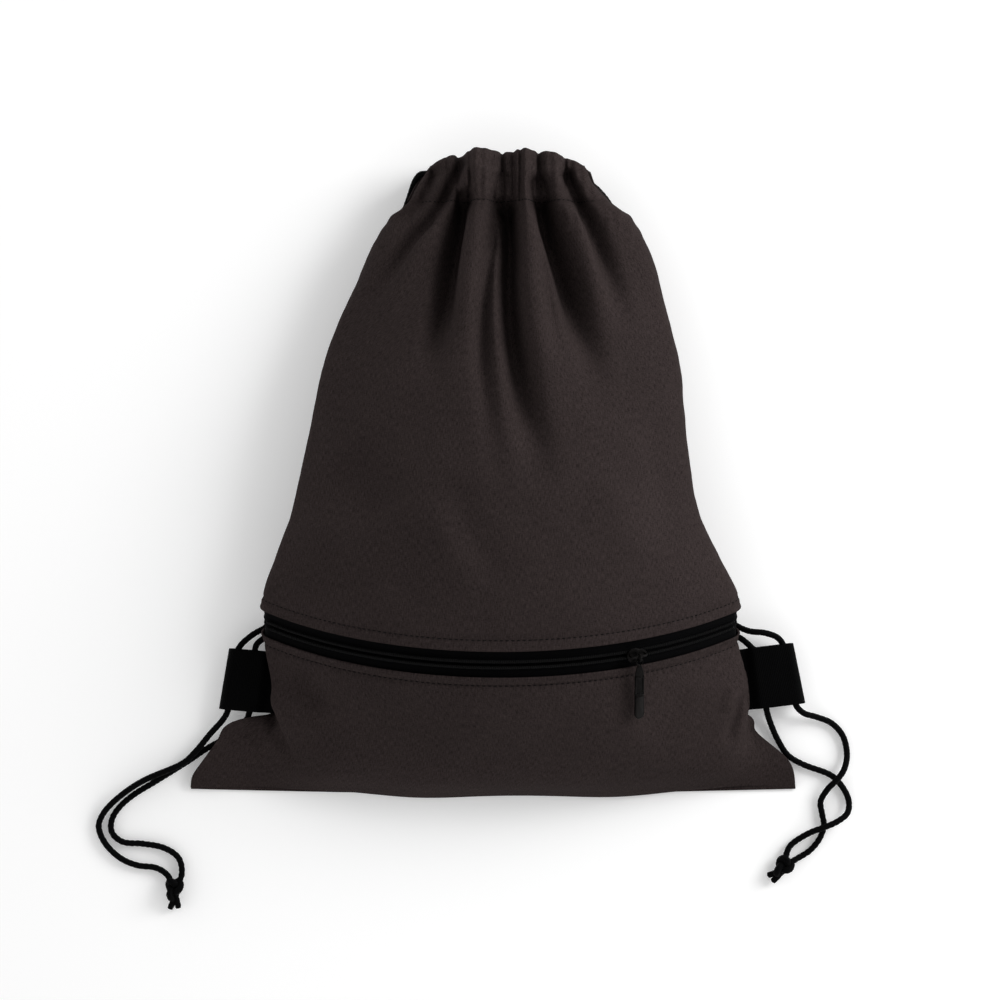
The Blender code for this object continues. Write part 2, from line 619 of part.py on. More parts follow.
clear_scene()
backpack = new_collection("drawstring_backpack")
heather = material("heather_canvas", (0.030, 0.027, 0.026), 0.9)
lining_cloth = material("lining_cloth", (0.020, 0.020, 0.022), 0.8)
tape_cloth = material("zip_tape_black", (0.006, 0.006, 0.007), 0.7)
coil_plastic = material("zip_coil_black", (0.008, 0.008, 0.009), 0.4)
gunmetal = material("gunmetal", (0.020, 0.018, 0.018), 0.35, 0.9)
webbing_black = material("webbing_black", (0.005, 0.005, 0.006), 0.75)
cord_black = material("cord_black", (0.005, 0.005, 0.006), 0.8)

make_front_panels(heather)
make_back_panel(heather)
make_pocket_lining(lining_cloth)
make_casing("front_casing", FRONT_CASING_MIDDLE_Z, FRONT_CASING_END_Z, 0.0048, heather)
make_casing("back_casing", BACK_CASING_MIDDLE_Z, BACK_CASING_END_Z, 0.0042, heather)
make_tapes(tape_cloth)
make_coils(coil_plastic)
slider_place, slide_axis_point, slide_axis = slider_frame()
slide_pivot, crown_bar = make_slider(gunmetal, slider_place, slide_axis_point)
make_pull(gunmetal, slider_place, crown_bar, slide_pivot)
make_side_tab("left_tab", Vector((-0.1316, -0.1297, 0.0078)), math.radians(5), 0.0370, webbing_black)
make_side_tab("right_tab", Vector((0.1503, -0.1280, 0.0078)), math.radians(7), 0.0410, webbing_black)
make_strands(cord_black)
make_casing_cords(cord_black)
make_knot("left_knot", (-0.2000, -0.2590, 0.0052), math.radians(80), cord_black)
make_knot("right_knot", (0.1815, -0.2440, 0.0052), math.radians(50), cord_black)
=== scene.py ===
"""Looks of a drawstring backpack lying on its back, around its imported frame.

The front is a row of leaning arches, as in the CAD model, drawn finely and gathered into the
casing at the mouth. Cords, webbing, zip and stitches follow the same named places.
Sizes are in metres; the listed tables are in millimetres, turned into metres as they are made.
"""
import math

import bmesh
import bpy
import numpy as np
from mathutils import Matrix, Vector, noise


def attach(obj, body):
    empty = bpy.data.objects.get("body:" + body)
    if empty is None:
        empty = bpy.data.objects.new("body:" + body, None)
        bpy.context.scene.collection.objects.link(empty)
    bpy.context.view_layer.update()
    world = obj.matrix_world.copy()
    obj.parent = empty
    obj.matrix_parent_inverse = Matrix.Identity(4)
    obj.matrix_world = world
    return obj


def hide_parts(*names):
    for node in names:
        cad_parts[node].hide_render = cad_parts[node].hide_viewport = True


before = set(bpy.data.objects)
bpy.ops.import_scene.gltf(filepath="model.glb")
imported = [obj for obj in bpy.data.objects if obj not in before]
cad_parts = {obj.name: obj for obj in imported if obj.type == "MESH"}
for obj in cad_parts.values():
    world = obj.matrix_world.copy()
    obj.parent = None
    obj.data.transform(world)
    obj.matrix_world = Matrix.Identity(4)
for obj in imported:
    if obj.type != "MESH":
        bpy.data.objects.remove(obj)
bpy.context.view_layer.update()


def metres(value):
    """Millimetres turned into metres, all through nested lists."""
    if isinstance(value, (list, tuple)):
        return [metres(part) for part in value]
    return round(value / 1000, 9)


# Driving sizes, the same as the CAD model's
CLOTH = 0.0012
LINING = 0.0006
TAPE = 0.0006
CORD = 0.004
WEBBING_WIDTH = 0.038
WEBBING = 0.0014
CURL_RADIUS = 0.012
HEM_BULGE_HALF_WIDTH = 0.150
ARCH_LEAST_HEIGHT = 0.040
STITCH_Y = 0.168
FOLD_Y = 0.1905
HEM_Y = -0.190

# Profiles from the hem to the mouth: place up the bag and value there
CREST = metres([(-190, 3.6), (-176, 28), (-156, 46), (-130, 60.5), (-101.8, 72.7), (-75.8, 83.3),
                (-50, 89), (-20, 91), (20, 86), (60, 76), (100, 63), (140, 49), (167, 40.5),
                (180, 39.5), (190.5, 37)])
SIDE_HEIGHT = metres([(-190, 6), (-156, 12.5), (-101.8, 13.2), (-75.8, 23.8), (-50, 26), (20, 26),
                      (100, 22), (167, 18), (190.5, 18.5)])
LEAN = metres([(-190, 9), (-156, 18), (-101.8, 24.2), (-75.8, 24.2), (-50, 20), (20, 9), (100, 1),
               (167, 0)])
CENTRE = metres([(-190, 5), (-156, 11), (-130, 10), (-101.8, 4.5), (-75.8, 4.5), (-24, 1), (22, 3),
                 (90, 6), (140, 10.5), (167, 10), (180, 7.5), (190.5, 8.5)])
HALF_WIDTH = metres([(-190, 150), (-156, 148), (-130, 148.5), (-101.8, 147.5), (-75.8, 147.5),
                     (-50, 137), (-24, 126.5), (22, 117), (60, 112), (90, 104), (115, 94),
                     (140, 81.5), (167, 64.5), (180, 55), (190.5, 50)])
LEFT_SEAM = metres([(-190, 190), (-182, 188), (-165, 173), (-154, 163), (-150, 139)])
RIGHT_SEAM = metres([(-193, 190), (-175, 185), (-160, 164), (-152.5, 162), (-149, 156)])
SEAM_HEIGHT = metres([(-190, 0), (-184, 2.4), (-176, 5.2), (-160, 6.4), (-154, 6.2), (-150, 4.4),
                      (-100, 4.4), (-85, 8), (-60, 11), (60, 11), (120, 10), (167, 8.5)])
TAB_SPREAD = metres([(-160, 0), (-152, 3.6), (-102, 3.6), (-84, 0)])
BACK_BOW = metres([(-190, 7), (-150, 4), (-100, 0)])
BACK_FLAT_SHARE = 0.62
BACK_CASING_RISE = 0.0042
FRONT_CASING_DEPTH = 0.0092
BACK_CASING_DEPTH = 0.0084

# The zip
ZIP_SIDE_Y = -0.0888
ZIP_EXACT = 0.0140
ZIP_BAND_HALF = 0.009
TAPE_HALF = 0.0118
TAPE_GAP_HALF = 0.0006
TAPE_INSET = CLOTH + 0.0004
STITCH_FROM_ZIP = 0.0150
COIL_RADIUS = 0.0011
COIL_OFFSET = 0.0019
COIL_PITCH = 0.0013
SLIDER_ANGLE = math.radians(22.5)
SLIDER_LENGTH = 0.013
SLIDER_HALF_WIDTH = 0.0045
SLIDER_TOP = 0.0023
CROWN_HEIGHT = 0.0030
CROWN_WIRE = 0.0007
PULL_LENGTH = 0.041
PULL_WIDTH = 0.006
PULL_THICKNESS = 0.0014
PULL_DIP = math.radians(-2)
PULL_RAIL = 0.0011
PULL_GRIP = 0.0130
EYE_RADIUS = 0.0023
PULL_HANG = CROWN_WIRE + 0.0003 + EYE_RADIUS + 0.0001

# Gathers of the front, from the mouth down: height at the top, half-width there, route.
# A positive height is a ridge and a negative one a valley; each fades out along its route.
GATHERS = metres([
    (6, 8.5, [(-21, 200), (-45, 171), (-73, 130), (-88, 100)]),
    (5.8, 6.5, [(-14, 190), (-25, 171), (-36, 152), (-45, 138), (-64, 115), (-88, 82)]),
    (7.2, 7.5, [(-6, 186), (-10, 160), (-12, 134), (-16, 104), (-21, 70), (-24, 30)]),
    (2.6, 5, [(0, 132), (2, 93), (4.5, 60), (10.5, 15)]),
    (7, 7, [(19, 188), (22, 167), (21.5, 145), (22.5, 115), (26, 78), (33, 45), (41, 10)]),
    (6.6, 7.5, [(36, 188), (42, 171), (50, 151), (58, 130), (67, 104), (79, 70)]),
    (5.6, 11, [(55, 182), (66, 166), (78, 143), (90, 114), (100, 80)]),
    (-8.5, 3.4, [(-19, 192), (-30, 171), (-40, 155), (-49, 145), (-58, 130), (-70, 112), (-86, 84)]),
    (-14.5, 4.6, [(-17.5, 170), (-23, 152), (-26, 138), (-28.5, 119), (-31, 97), (-36, 74),
                  (-41, 48)]),
    (-6.6, 3.4, [(5, 182), (1, 164), (-2.5, 134), (-6, 97), (-5, 60), (-1, 22), (2, -20)]),
    (-15.5, 5, [(8.5, 162), (10.5, 141), (10, 119), (11.5, 93), (15, 67), (19.5, 41), (26.5, 13),
                (36, -20)]),
    (-2.4, 2.6, [(31, 126), (34, 100), (40, 66)]),
    (-14.5, 4.8, [(27, 178), (29, 164), (34, 151), (41, 132), (47, 113), (53, 91), (60, 67),
                  (67, 38)]),
    (-9, 3.6, [(45, 184), (51, 169), (59, 152), (66, 132), (74, 110), (84, 80)]),
    (-5.5, 3.2, [(-36, 186), (-43, 171), (-54, 156), (-68, 138)]),
])
# Narrow folds of the casing itself: depth and place across the mouth
CASING_FOLDS = metres([(-2.2, -29), (-3.6, -22), (-2.8, -14.5), (-3.6, 5.5), (-3, 12.5),
                       (-2.6, 16.5), (-3.6, 27.5), (-3.4, 44)])
CASING_FOLD_HALF = 0.0013
RUFFLE_DEPTH = 0.0005
RUFFLE_PITCH = 0.0061
# Soft wrinkles of the front: height, half-width, route
WRINKLES = metres([
    (-4.5, 4, [(-146, -132), (-138, -150), (-131, -164), (-122, -178)]),
    (3, 5, [(-137, -132), (-129, -150), (-121, -164)]),
    (-4, 4, [(158, -132), (150, -152), (143, -168)]),
    (2.4, 5, [(150, -128), (142, -148)]),
    (-2.6, 12, [(-30, 4), (-10, -40), (14, -74)]),
    (2, 11, [(-40, -6), (-26, -42), (-4, -78)]),
    (-2, 8, [(-62, -54), (-48, -74), (-34, -88)]),
    (-6, 20, [(-94, 16), (-78, -6), (-60, -30)]),
    (2.4, 14, [(60, 10), (80, -30), (90, -60)]),
    (-2.2, 12, [(94, 44), (102, 6), (104, -30)]),
    (-4, 11, [(-124, -116), (-112, -132), (-100, -150)]),
    (2.6, 10, [(-134, -126), (-122, -146), (-116, -168)]),
    (-2.2, 12, [(120, -124), (104, -150), (98, -172)]),
    (1.8, 12, [(-40, -136), (0, -150), (46, -146)]),
    (-2, 14, [(30, -166), (-20, -172), (-70, -164)]),
])
GATHER_SPREAD = 1.1
GATHER_DEPTH = 1.3
GATHER_FLATNESS = 2.4
# How deep a valley may go: in the panel, at the casing, and further in the casing's own folds
PANEL_ROOM = 0.030
CASING_ROOM = 0.0022
CASING_FOLD_ROOM = 0.0015

# The cords' routes, the same as the CAD model's
LEFT_A = metres([(-40.7, 187, 22.5), (-45.5, 186.6, 20.5), (-49.2, 182.5, 15), (-52.4, 174.5, 8.5),
                 (-56.2, 165, 4), (-63, 150, 2.2), (-75.5, 122, 2.2), (-92, 85, 2.2),
                 (-104.5, 30, 2.2), (-116.5, -30, 2.2), (-125.5, -68, 2.2), (-135, -88, 2),
                 (-142.5, -94.5, 2.2), (-151, -99.5, 6), (-158.5, -106.5, 7.8),
                 (-162.2, -116, 7.8), (-163.5, -125, 7.8), (-165.5, -144, 7.8), (-169, -152, 7),
                 (-177, -161, 6), (-187, -173, 6.2), (-196, -180.5, 6.8), (-216, -189, 6.8),
                 (-228, -196, 6.8), (-239, -205, 5.8), (-245.5, -213, 3.2), (-247.5, -221, 2.2),
                 (-243, -231, 2.2), (-234, -239.5, 2.2), (-223.5, -244, 2.2), (-212, -245.5, 2.4),
                 (-204.5, -250, 3)])
LEFT_B = metres([(-40.9, 187, 7.5), (-45, 186.8, 6.6), (-48, 179, 2.8), (-50.6, 168, 2.2),
                 (-57.5, 150, 2.2), (-69.2, 122, 2.2), (-86, 85, 2.2), (-98.5, 30, 2.2),
                 (-110.5, -30, 2.2), (-119, -67, 2.2), (-128, -89, 2), (-137.5, -98.5, 2),
                 (-144.8, -102.2, 4.6), (-149, -108, 7.8), (-149.5, -125, 7.6),
                 (-151.2, -143, 7.4), (-152.8, -148.1, 7), (-156, -154, 2.4), (-168, -164, 2.2),
                 (-181, -171.5, 2.2), (-192, -179, 2.2), (-213, -192, 2.2), (-226, -200, 2.2),
                 (-235, -208, 2.2), (-239.5, -216, 2.2), (-239, -224, 2.2), (-232, -229.5, 2.2),
                 (-220, -230.5, 2.2), (-207, -233, 2.2), (-197.5, -239.5, 2.2), (-195.5, -250, 3)])
RIGHT_A = metres([(52.7, 178, 22.5), (57, 179.8, 20.5), (61.5, 180.3, 16), (67.2, 176.2, 9.2),
                  (72.2, 170.5, 4.5), (77.2, 162, 2.2), (86, 143, 2.2), (96, 115, 2.2),
                  (106, 80, 2.2), (113, 30, 2.2), (122.5, -25, 2.2), (134.5, -64, 2.2),
                  (144, -86, 2), (152, -93.5, 2.4), (160, -97, 7), (169.5, -98, 9.2),
                  (178, -101.5, 8.6), (182.2, -109.5, 7.8), (184.5, -124, 7.8), (188, -141, 7.8),
                  (193.5, -148, 6.2), (202.5, -151, 3.4), (212, -155, 2.2), (219, -163, 2.2),
                  (221.5, -174, 2.4), (219.5, -183, 5.6), (215, -189.5, 7), (209, -196, 5.2),
                  (205, -204, 2.2), (206, -212, 2.2), (207, -219, 2.2), (204.5, -227, 2.2),
                  (198.5, -234.5, 2.2), (190.5, -239.5, 3)])
RIGHT_B = metres([(52.7, 178, 7.5), (58, 177.4, 6), (64.5, 171, 2.8), (70, 158, 2.2),
                  (80, 139, 2.2), (89.5, 115, 2.2), (99.5, 80, 2.2), (107, 30, 2.2),
                  (116.5, -25, 2.2), (128.5, -66, 2.2), (138, -89, 2), (147.5, -98, 2),
                  (155, -101.8, 4.8), (161, -107, 7.8), (166.5, -113, 7.8), (168.5, -125, 7.8),
                  (170, -143, 7.4), (173.5, -155, 3.6), (179, -167, 2.2), (185, -175.5, 2.2),
                  (195, -181.2, 2.2), (210.5, -187, 2.2), (218, -194, 2.2), (222.5, -203, 2.2),
                  (221.5, -211, 4.4), (215, -216, 6.6), (207, -219.5, 7), (198, -223.2, 5.2),
                  (189, -229, 2.6), (184.5, -234, 3)])


# Small tools

def profile(table, at):
    """Smooth value at one place of a table of (place, value) pairs."""
    at = min(max(at, table[0][0]), table[-1][0])
    first = 0
    while first < len(table) - 2 and table[first + 1][0] < at:
        first += 1

    def slope(i):
        low, high = table[max(i - 1, 0)], table[min(i + 1, len(table) - 1)]
        return (high[1] - low[1]) / (high[0] - low[0])

    (start, a), (end, b) = table[first], table[first + 1]
    span = end - start
    t = (at - start) / span
    return ((2 * t**3 - 3 * t**2 + 1) * a + (t**3 - 2 * t**2 + t) * span * slope(first)
            + (3 * t**2 - 2 * t**3) * b + (t**3 - t**2) * span * slope(first + 1))


def between(start, end, steps):
    return [start + (end - start) * i / steps for i in range(steps + 1)]


def ease(value, low, high):
    """0 below low, 1 above high and smooth between, for a number or an array."""
    t = np.clip((value - low) / (high - low), 0.0, 1.0)
    return t * t * (3 - 2 * t)


def bell(distance, half_width):
    """1 at no distance, falling smoothly to nearly 0 beyond the half-width."""
    return np.exp(-((distance / half_width) ** 2))


def smooth_route(points, step):
    """Evenly spaced points on a smooth curve through a given route."""
    points = [Vector(p) for p in points]
    ends = [points[0] * 2 - points[1]] + points + [points[-1] * 2 - points[-2]]
    fine = []
    for a, b, c, d in zip(ends, ends[1:], ends[2:], ends[3:]):
        for i in range(12):
            t = i / 12
            fine.append(0.5 * (2 * b + (c - a) * t + (2 * a - 5 * b + 4 * c - d) * t * t
                               + (3 * b - a - 3 * c + d) * t**3))
    fine.append(points[-1])
    total = sum((b - a).length for a, b in zip(fine, fine[1:]))
    count = max(2, round(total / step))
    placed, walked, target = [fine[0]], 0.0, total / count
    for a, b in zip(fine, fine[1:]):
        length = (b - a).length
        while length and walked + length >= target - 1e-9 and len(placed) < count:
            placed.append(a.lerp(b, (target - walked) / length))
            target += total / count
        walked += length
    placed.append(fine[-1])
    return placed


def route_length(points):
    return sum((b - a).length for a, b in zip(points, points[1:]))


def along_route(x, y, route):
    """Distance from a route, and how far along it that is, for arrays of places."""
    points = [Vector((*p, 0.0)) for p in route]
    fine = smooth_route(points, 0.006)
    total = route_length(fine)
    nearest = np.full(x.shape, 1.0)
    share = np.zeros(x.shape)
    walked = 0.0
    for a, b in zip(fine, fine[1:]):
        step = b - a
        t = ((x - a.x) * step.x + (y - a.y) * step.y) / step.length_squared
        t = np.clip(t, 0.0, 1.0)
        far = np.hypot(x - a.x - step.x * t, y - a.y - step.y * t)
        closer = far < nearest
        nearest = np.where(closer, far, nearest)
        share = np.where(closer, (walked + t * step.length) / total, share)
        walked += step.length
    return nearest, share


def noise_field(x, y, size, seed):
    """Smooth noise from -1 to 1 over arrays of places, with features of this size."""
    flat = [noise.noise(Vector((a / size, b / size, seed))) for a, b in zip(x.ravel(), y.ravel())]
    return np.array(flat).reshape(x.shape)


# The bag's own surfaces

def seam_height(side_y):
    return profile(SEAM_HEIGHT, side_y)


def front_seam_height(side_y):
    return seam_height(side_y) + 2 * CLOTH + 0.6 * profile(TAB_SPREAD, side_y)


def seam_x(side_y, side):
    """How far out the side seam lies, from the bag's middle line."""
    bulge = profile(HALF_WIDTH, side_y) - 0.29 * CURL_RADIUS + side * profile(CENTRE, side_y)
    table = LEFT_SEAM if side < 0 else RIGHT_SEAM
    if side_y > table[-1][0]:
        return bulge
    return max(profile(table, side_y), bulge)


class Arch:
    """One row of the front: a round arch with a curl at each end, in a plane that leans."""

    def __init__(self, side_y, inset=0.0):
        self.side_y = side_y
        self.inset = inset
        self.side_z = profile(SIDE_HEIGHT, side_y)
        self.lean = profile(LEAN, side_y)
        self.centre = profile(CENTRE, side_y)
        self.crest = profile(CREST, side_y)
        self.seam_z = front_seam_height(side_y)
        tall = self.crest if side_y > STITCH_Y else max(self.crest, ARCH_LEAST_HEIGHT)
        self.flatness = (self.crest - self.seam_z) / (tall - self.seam_z)
        self.tall = tall
        self.drop = math.hypot(tall - self.side_z, self.lean)
        half = profile(HALF_WIDTH, side_y)
        self.turn = 2 * math.atan((self.drop - CURL_RADIUS) / (half - CURL_RADIUS))
        self.radius = CURL_RADIUS + (half - CURL_RADIUS) / math.sin(self.turn)
        tuck = (self.side_z - self.seam_z) * self.drop / (CURL_RADIUS * (tall - self.side_z))
        self.end = math.pi / 2 + math.asin(min(max(tuck, 0.0), 0.95))

    def point(self, angle):
        """The point where the surface has turned this far from its crest; negative is left."""
        size = abs(angle)
        side = math.copysign(1.0, angle)
        big = self.radius - self.inset
        if size <= self.turn:
            out, down = big * math.sin(size), self.radius - big * math.cos(size)
        else:
            small = CURL_RADIUS - self.inset
            shift = self.radius - CURL_RADIUS
            out = shift * math.sin(self.turn) + small * math.sin(size)
            down = self.radius - shift * math.cos(self.turn) - small * math.cos(size)
        share = down / self.drop
        z = self.tall - (self.tall - self.side_z) * share
        y = self.side_y - self.lean * (1 - share)
        length = big * min(size, self.turn) + CURL_RADIUS * max(size - self.turn, 0)
        whole = big * self.turn + CURL_RADIUS * (self.end - self.turn)
        level_x = HEM_BULGE_HALF_WIDTH * length / whole
        x = level_x + (out - level_x) * self.flatness
        z = self.seam_z + (z - self.seam_z) * self.flatness
        return Vector((self.centre + side * x, y, z))

    def even(self, steps, end=None):
        """Angles evenly spread over the surface's length, from one end to the other."""
        end = self.end if end is None else end
        flat, curl = self.radius * self.turn, CURL_RADIUS * (end - self.turn)
        angles = []
        for share in between(-1.0, 1.0, steps):
            length = abs(share) * (flat + curl)
            if length <= flat:
                size = length / self.radius
            else:
                size = self.turn + (length - flat) / CURL_RADIUS
            angles.append(math.copysign(size, share))
        return angles


def zip_axes():
    """Up the bag along the zip's surface, and out of it at its crest."""
    arch = Arch(ZIP_SIDE_Y)
    rise = arch.tall - arch.side_z
    out = Vector((0.0, -arch.lean, rise)).normalized()
    return Vector((0.0, out.z, -out.y)), out


ZIP_UP, ZIP_OUT = zip_axes()


def arch_at(height, inset=0.0):
    """The arch this far up the bag from the zip's middle, and how far it is then shifted."""
    if abs(height) <= ZIP_EXACT:
        return Arch(ZIP_SIDE_Y, inset), ZIP_UP * height
    return Arch(ZIP_SIDE_Y + height * ZIP_UP.y, inset), Vector()


def front_row(height, steps, flap=0):
    """A row of the front's surface, this far up the bag from the zip's middle."""
    arch, shift = arch_at(height)
    side_y = ZIP_SIDE_Y + height * ZIP_UP.y
    opened = float(ease(side_y, STITCH_Y - 0.012, STITCH_Y + 0.004))
    end = arch.end + (min(arch.end, arch.turn + 0.6) - arch.end) * opened
    row = [arch.point(a) + shift for a in arch.even(steps, end)]
    if flap:
        row = flap_points(row[0], arch, -1, flap) + row + flap_points(row[-1], arch, 1, flap)
    return row


def flap_points(foot, arch, side, steps):
    """The layer of cloth that lies flat from the foot of the bulge out to the seam."""
    seam = Vector((side * seam_x(arch.side_y, side), foot.y, foot.z))
    points = [foot.lerp(seam, i / steps) for i in range(1, steps + 1)]
    return points if side > 0 else points[::-1]


def grid_array(rows):
    return np.array([[tuple(p) for p in row] for row in rows])


def normals_of(grid):
    """Unit normals of a grid of points, up for rows that run along +X and go up the bag."""
    across, up = np.gradient(grid, axis=1), np.gradient(grid, axis=0)
    found = np.cross(across, up)
    return found / np.maximum(np.linalg.norm(found, axis=2, keepdims=True), 1e-9)


def gather_relief(x, y):
    """Height of the gathers and wrinkles of the front, over arrays of places."""
    relief = np.zeros(x.shape)
    for height, half_width, route in GATHERS:
        far, share = along_route(x, y, route)
        wide = half_width * (1 + GATHER_SPREAD * share)
        fade = (1 - ease(share, 0.42, 1.0)) * (1 - 0.25 * share)
        relief += GATHER_DEPTH * height * fade * np.exp(-(np.abs(far / wide) ** GATHER_FLATNESS))
    for height, half_width, route in WRINKLES:
        far, share = along_route(x, y, route)
        fade = ease(share, 0.0, 0.35) * (1 - ease(share, 0.65, 1.0))
        relief += height * fade * bell(far, half_width)
    return relief


# Building meshes

def linked(mesh, finish):
    """An object of this mesh, smooth shaded, with its material."""
    mesh.shade_smooth()
    mesh.materials.append(finish)
    made = bpy.data.objects.new(mesh.name, mesh)
    bpy.context.scene.collection.objects.link(made)
    return made


def bmesh_object(name, shape, finish):
    """An object of a finished bmesh."""
    mesh = bpy.data.meshes.new(name)
    shape.to_mesh(mesh)
    shape.free()
    return linked(mesh, finish)


def woven_object(name, places, faces, weave, finish):
    """An object of points and faces that knows where each point lies in its weave."""
    mesh = bpy.data.meshes.new(name)
    mesh.from_pydata([tuple(p) for p in places], [], faces)
    layer = mesh.attributes.new("weave", "FLOAT_VECTOR", "POINT")
    layer.data.foreach_set("vector", np.asarray(weave, np.float32).ravel())
    return linked(mesh, finish)


def dress(piece, body, slot, *nodes):
    """The piece rides on a body and may replace CAD nodes; its slot is not used."""
    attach(piece, body)
    if nodes:
        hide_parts(*nodes)


def weave_coordinates(grid):
    """How far each point of a grid lies across and along its cloth, in metres."""
    across = np.linalg.norm(np.diff(grid, axis=1), axis=2)
    along = np.linalg.norm(np.diff(grid, axis=0), axis=2)
    middle = grid.shape[1] // 2
    u = np.concatenate([np.zeros((grid.shape[0], 1)), np.cumsum(across, axis=1)], axis=1)
    u -= u[:, middle:middle + 1]
    v = np.concatenate([[0.0], np.cumsum(along[:, middle])])
    return np.stack([u, np.repeat(v[:, None], grid.shape[1], axis=1), np.zeros(u.shape)], axis=2)


def cloth_piece(name, grid, thickness, finish, flip=False):
    """A sheet of cloth whose outer face is the grid of points, with its weave along the grid."""
    rows, columns = grid.shape[:2]
    index = np.arange(rows * columns).reshape(rows, columns)
    quads = np.stack([index[:-1, :-1], index[:-1, 1:], index[1:, 1:], index[1:, :-1]], axis=2)
    quads = quads.reshape(-1, 4)
    if flip:
        quads = quads[:, ::-1]
    places = grid.reshape(-1, 3).tolist()
    made = woven_object(name, places, quads.tolist(), weave_coordinates(grid), finish)
    shell = made.modifiers.new("thickness", "SOLIDIFY")
    shell.thickness = thickness
    shell.offset = -1.0
    shell.use_even_offset = False
    return made


def frames_along(points):
    """A pair of directions square to the line at each of its points, that don't twist."""
    tangents = []
    for i in range(len(points)):
        step = points[min(i + 1, len(points) - 1)] - points[max(i - 1, 0)]
        tangents.append(step.normalized())
    side = tangents[0].orthogonal().normalized()
    frames = []
    for tangent in tangents:
        side = (side - tangent * side.dot(tangent)).normalized()
        frames.append((side, tangent.cross(side)))
    return frames


def tube(name, points, radius_at, sides, finish, closed=False):
    """A tube round a line; radius_at(length, turn) gives its radius there."""
    count = len(points)
    frames = frames_along(points)
    turns = [2 * math.pi * i / sides for i in range(sides)]
    places, weave, length = [], [], 0.0
    for i, (point, (one, two)) in enumerate(zip(points, frames)):
        if i:
            length += (point - points[i - 1]).length
        for turn in turns:
            radius = radius_at(length, turn)
            places.append(point + (one * math.cos(turn) + two * math.sin(turn)) * radius)
            weave.append((length, turn, 0.0))
    faces = []
    for i in range(count if closed else count - 1):
        low, high = i * sides, (i + 1) % count * sides
        for j in range(sides):
            k = (j + 1) % sides
            faces.append((low + j, low + k, high + k, high + j))
    if not closed:
        faces.append(tuple(range(sides))[::-1])
        faces.append(tuple(range((count - 1) * sides, count * sides)))
    return woven_object(name, places, faces, weave, finish)


def even_wire(radius):
    """A tube's radius that is the same all along."""
    return lambda length, turn: radius


# Materials

class Nodes:
    """A material's nodes, made and joined by short calls."""

    def __init__(self, name, colour, roughness, metallic=0.0):
        self.material = bpy.data.materials.new(name)
        self.material.use_nodes = True
        self.tree = self.material.node_tree
        self.shader = self.tree.nodes["Principled BSDF"]
        self.set("Base Color", (*colour, 1.0))
        self.set("Roughness", roughness)
        self.set("Metallic", metallic)

    def set(self, socket, value):
        self.shader.inputs[socket].default_value = value

    def join(self, source, target):
        self.tree.links.new(source, target)

    def weave(self):
        node = self.tree.nodes.new("ShaderNodeAttribute")
        node.attribute_name = "weave"
        return node.outputs["Vector"]

    def place(self):
        return self.tree.nodes.new("ShaderNodeTexCoord").outputs["Object"]

    def stretched(self, vector, scale):
        node = self.tree.nodes.new("ShaderNodeMapping")
        node.inputs["Scale"].default_value = scale
        self.join(vector, node.inputs["Vector"])
        return node.outputs["Vector"]

    def noise(self, vector, scale, detail=2.0, roughness=0.5):
        node = self.tree.nodes.new("ShaderNodeTexNoise")
        node.inputs["Scale"].default_value = scale
        node.inputs["Detail"].default_value = detail
        node.inputs["Roughness"].default_value = roughness
        self.join(vector, node.inputs["Vector"])
        return node.outputs["Fac"]

    def bands(self, vector, period, direction):
        """A wave from 0 to 1 that repeats every period metres along X, Y or Z."""
        node = self.tree.nodes.new("ShaderNodeTexWave")
        node.bands_direction = direction
        node.inputs["Scale"].default_value = 2 * math.pi / (20 * period)
        self.join(vector, node.inputs["Vector"])
        return node.outputs["Fac"]

    def math(self, operation, first, second):
        node = self.tree.nodes.new("ShaderNodeMath")
        node.operation = operation
        for socket, value in zip(node.inputs, (first, second)):
            if isinstance(value, (int, float)):
                socket.default_value = value
            else:
                self.join(value, socket)
        return node.outputs["Value"]

    def ramp(self, factor, stops):
        node = self.tree.nodes.new("ShaderNodeValToRGB")
        elements = node.color_ramp.elements
        while len(elements) < len(stops):
            elements.new(0.5)
        for element, (place, colour) in zip(elements, stops):
            element.position = place
            element.color = (*colour, 1.0)
        self.join(factor, node.inputs["Fac"])
        return node.outputs["Color"]

    def tones(self, factor, colour, dark, light):
        """The base colour, from dark to light; each is a place and how many times the colour."""
        stops = [(place, [times * c for c in colour]) for place, times in (dark, light)]
        self.join(self.ramp(factor, stops), self.shader.inputs["Base Color"])

    def tinted(self, colour, factor, amount):
        """The colour multiplied by a factor that lies about 0.5, by up to this amount."""
        node = self.tree.nodes.new("ShaderNodeVectorMath")
        node.operation = "SCALE"
        self.join(colour, node.inputs[0])
        swing = self.math("MULTIPLY", self.math("SUBTRACT", factor, 0.5), 2 * amount)
        self.join(self.math("ADD", swing, 1.0), node.inputs["Scale"])
        return node.outputs["Vector"]

    def bump(self, height, strength, distance):
        node = self.tree.nodes.new("ShaderNodeBump")
        node.inputs["Strength"].default_value = strength
        node.inputs["Distance"].default_value = distance
        self.join(height, node.inputs["Height"])
        self.join(node.outputs["Normal"], self.shader.inputs["Normal"])


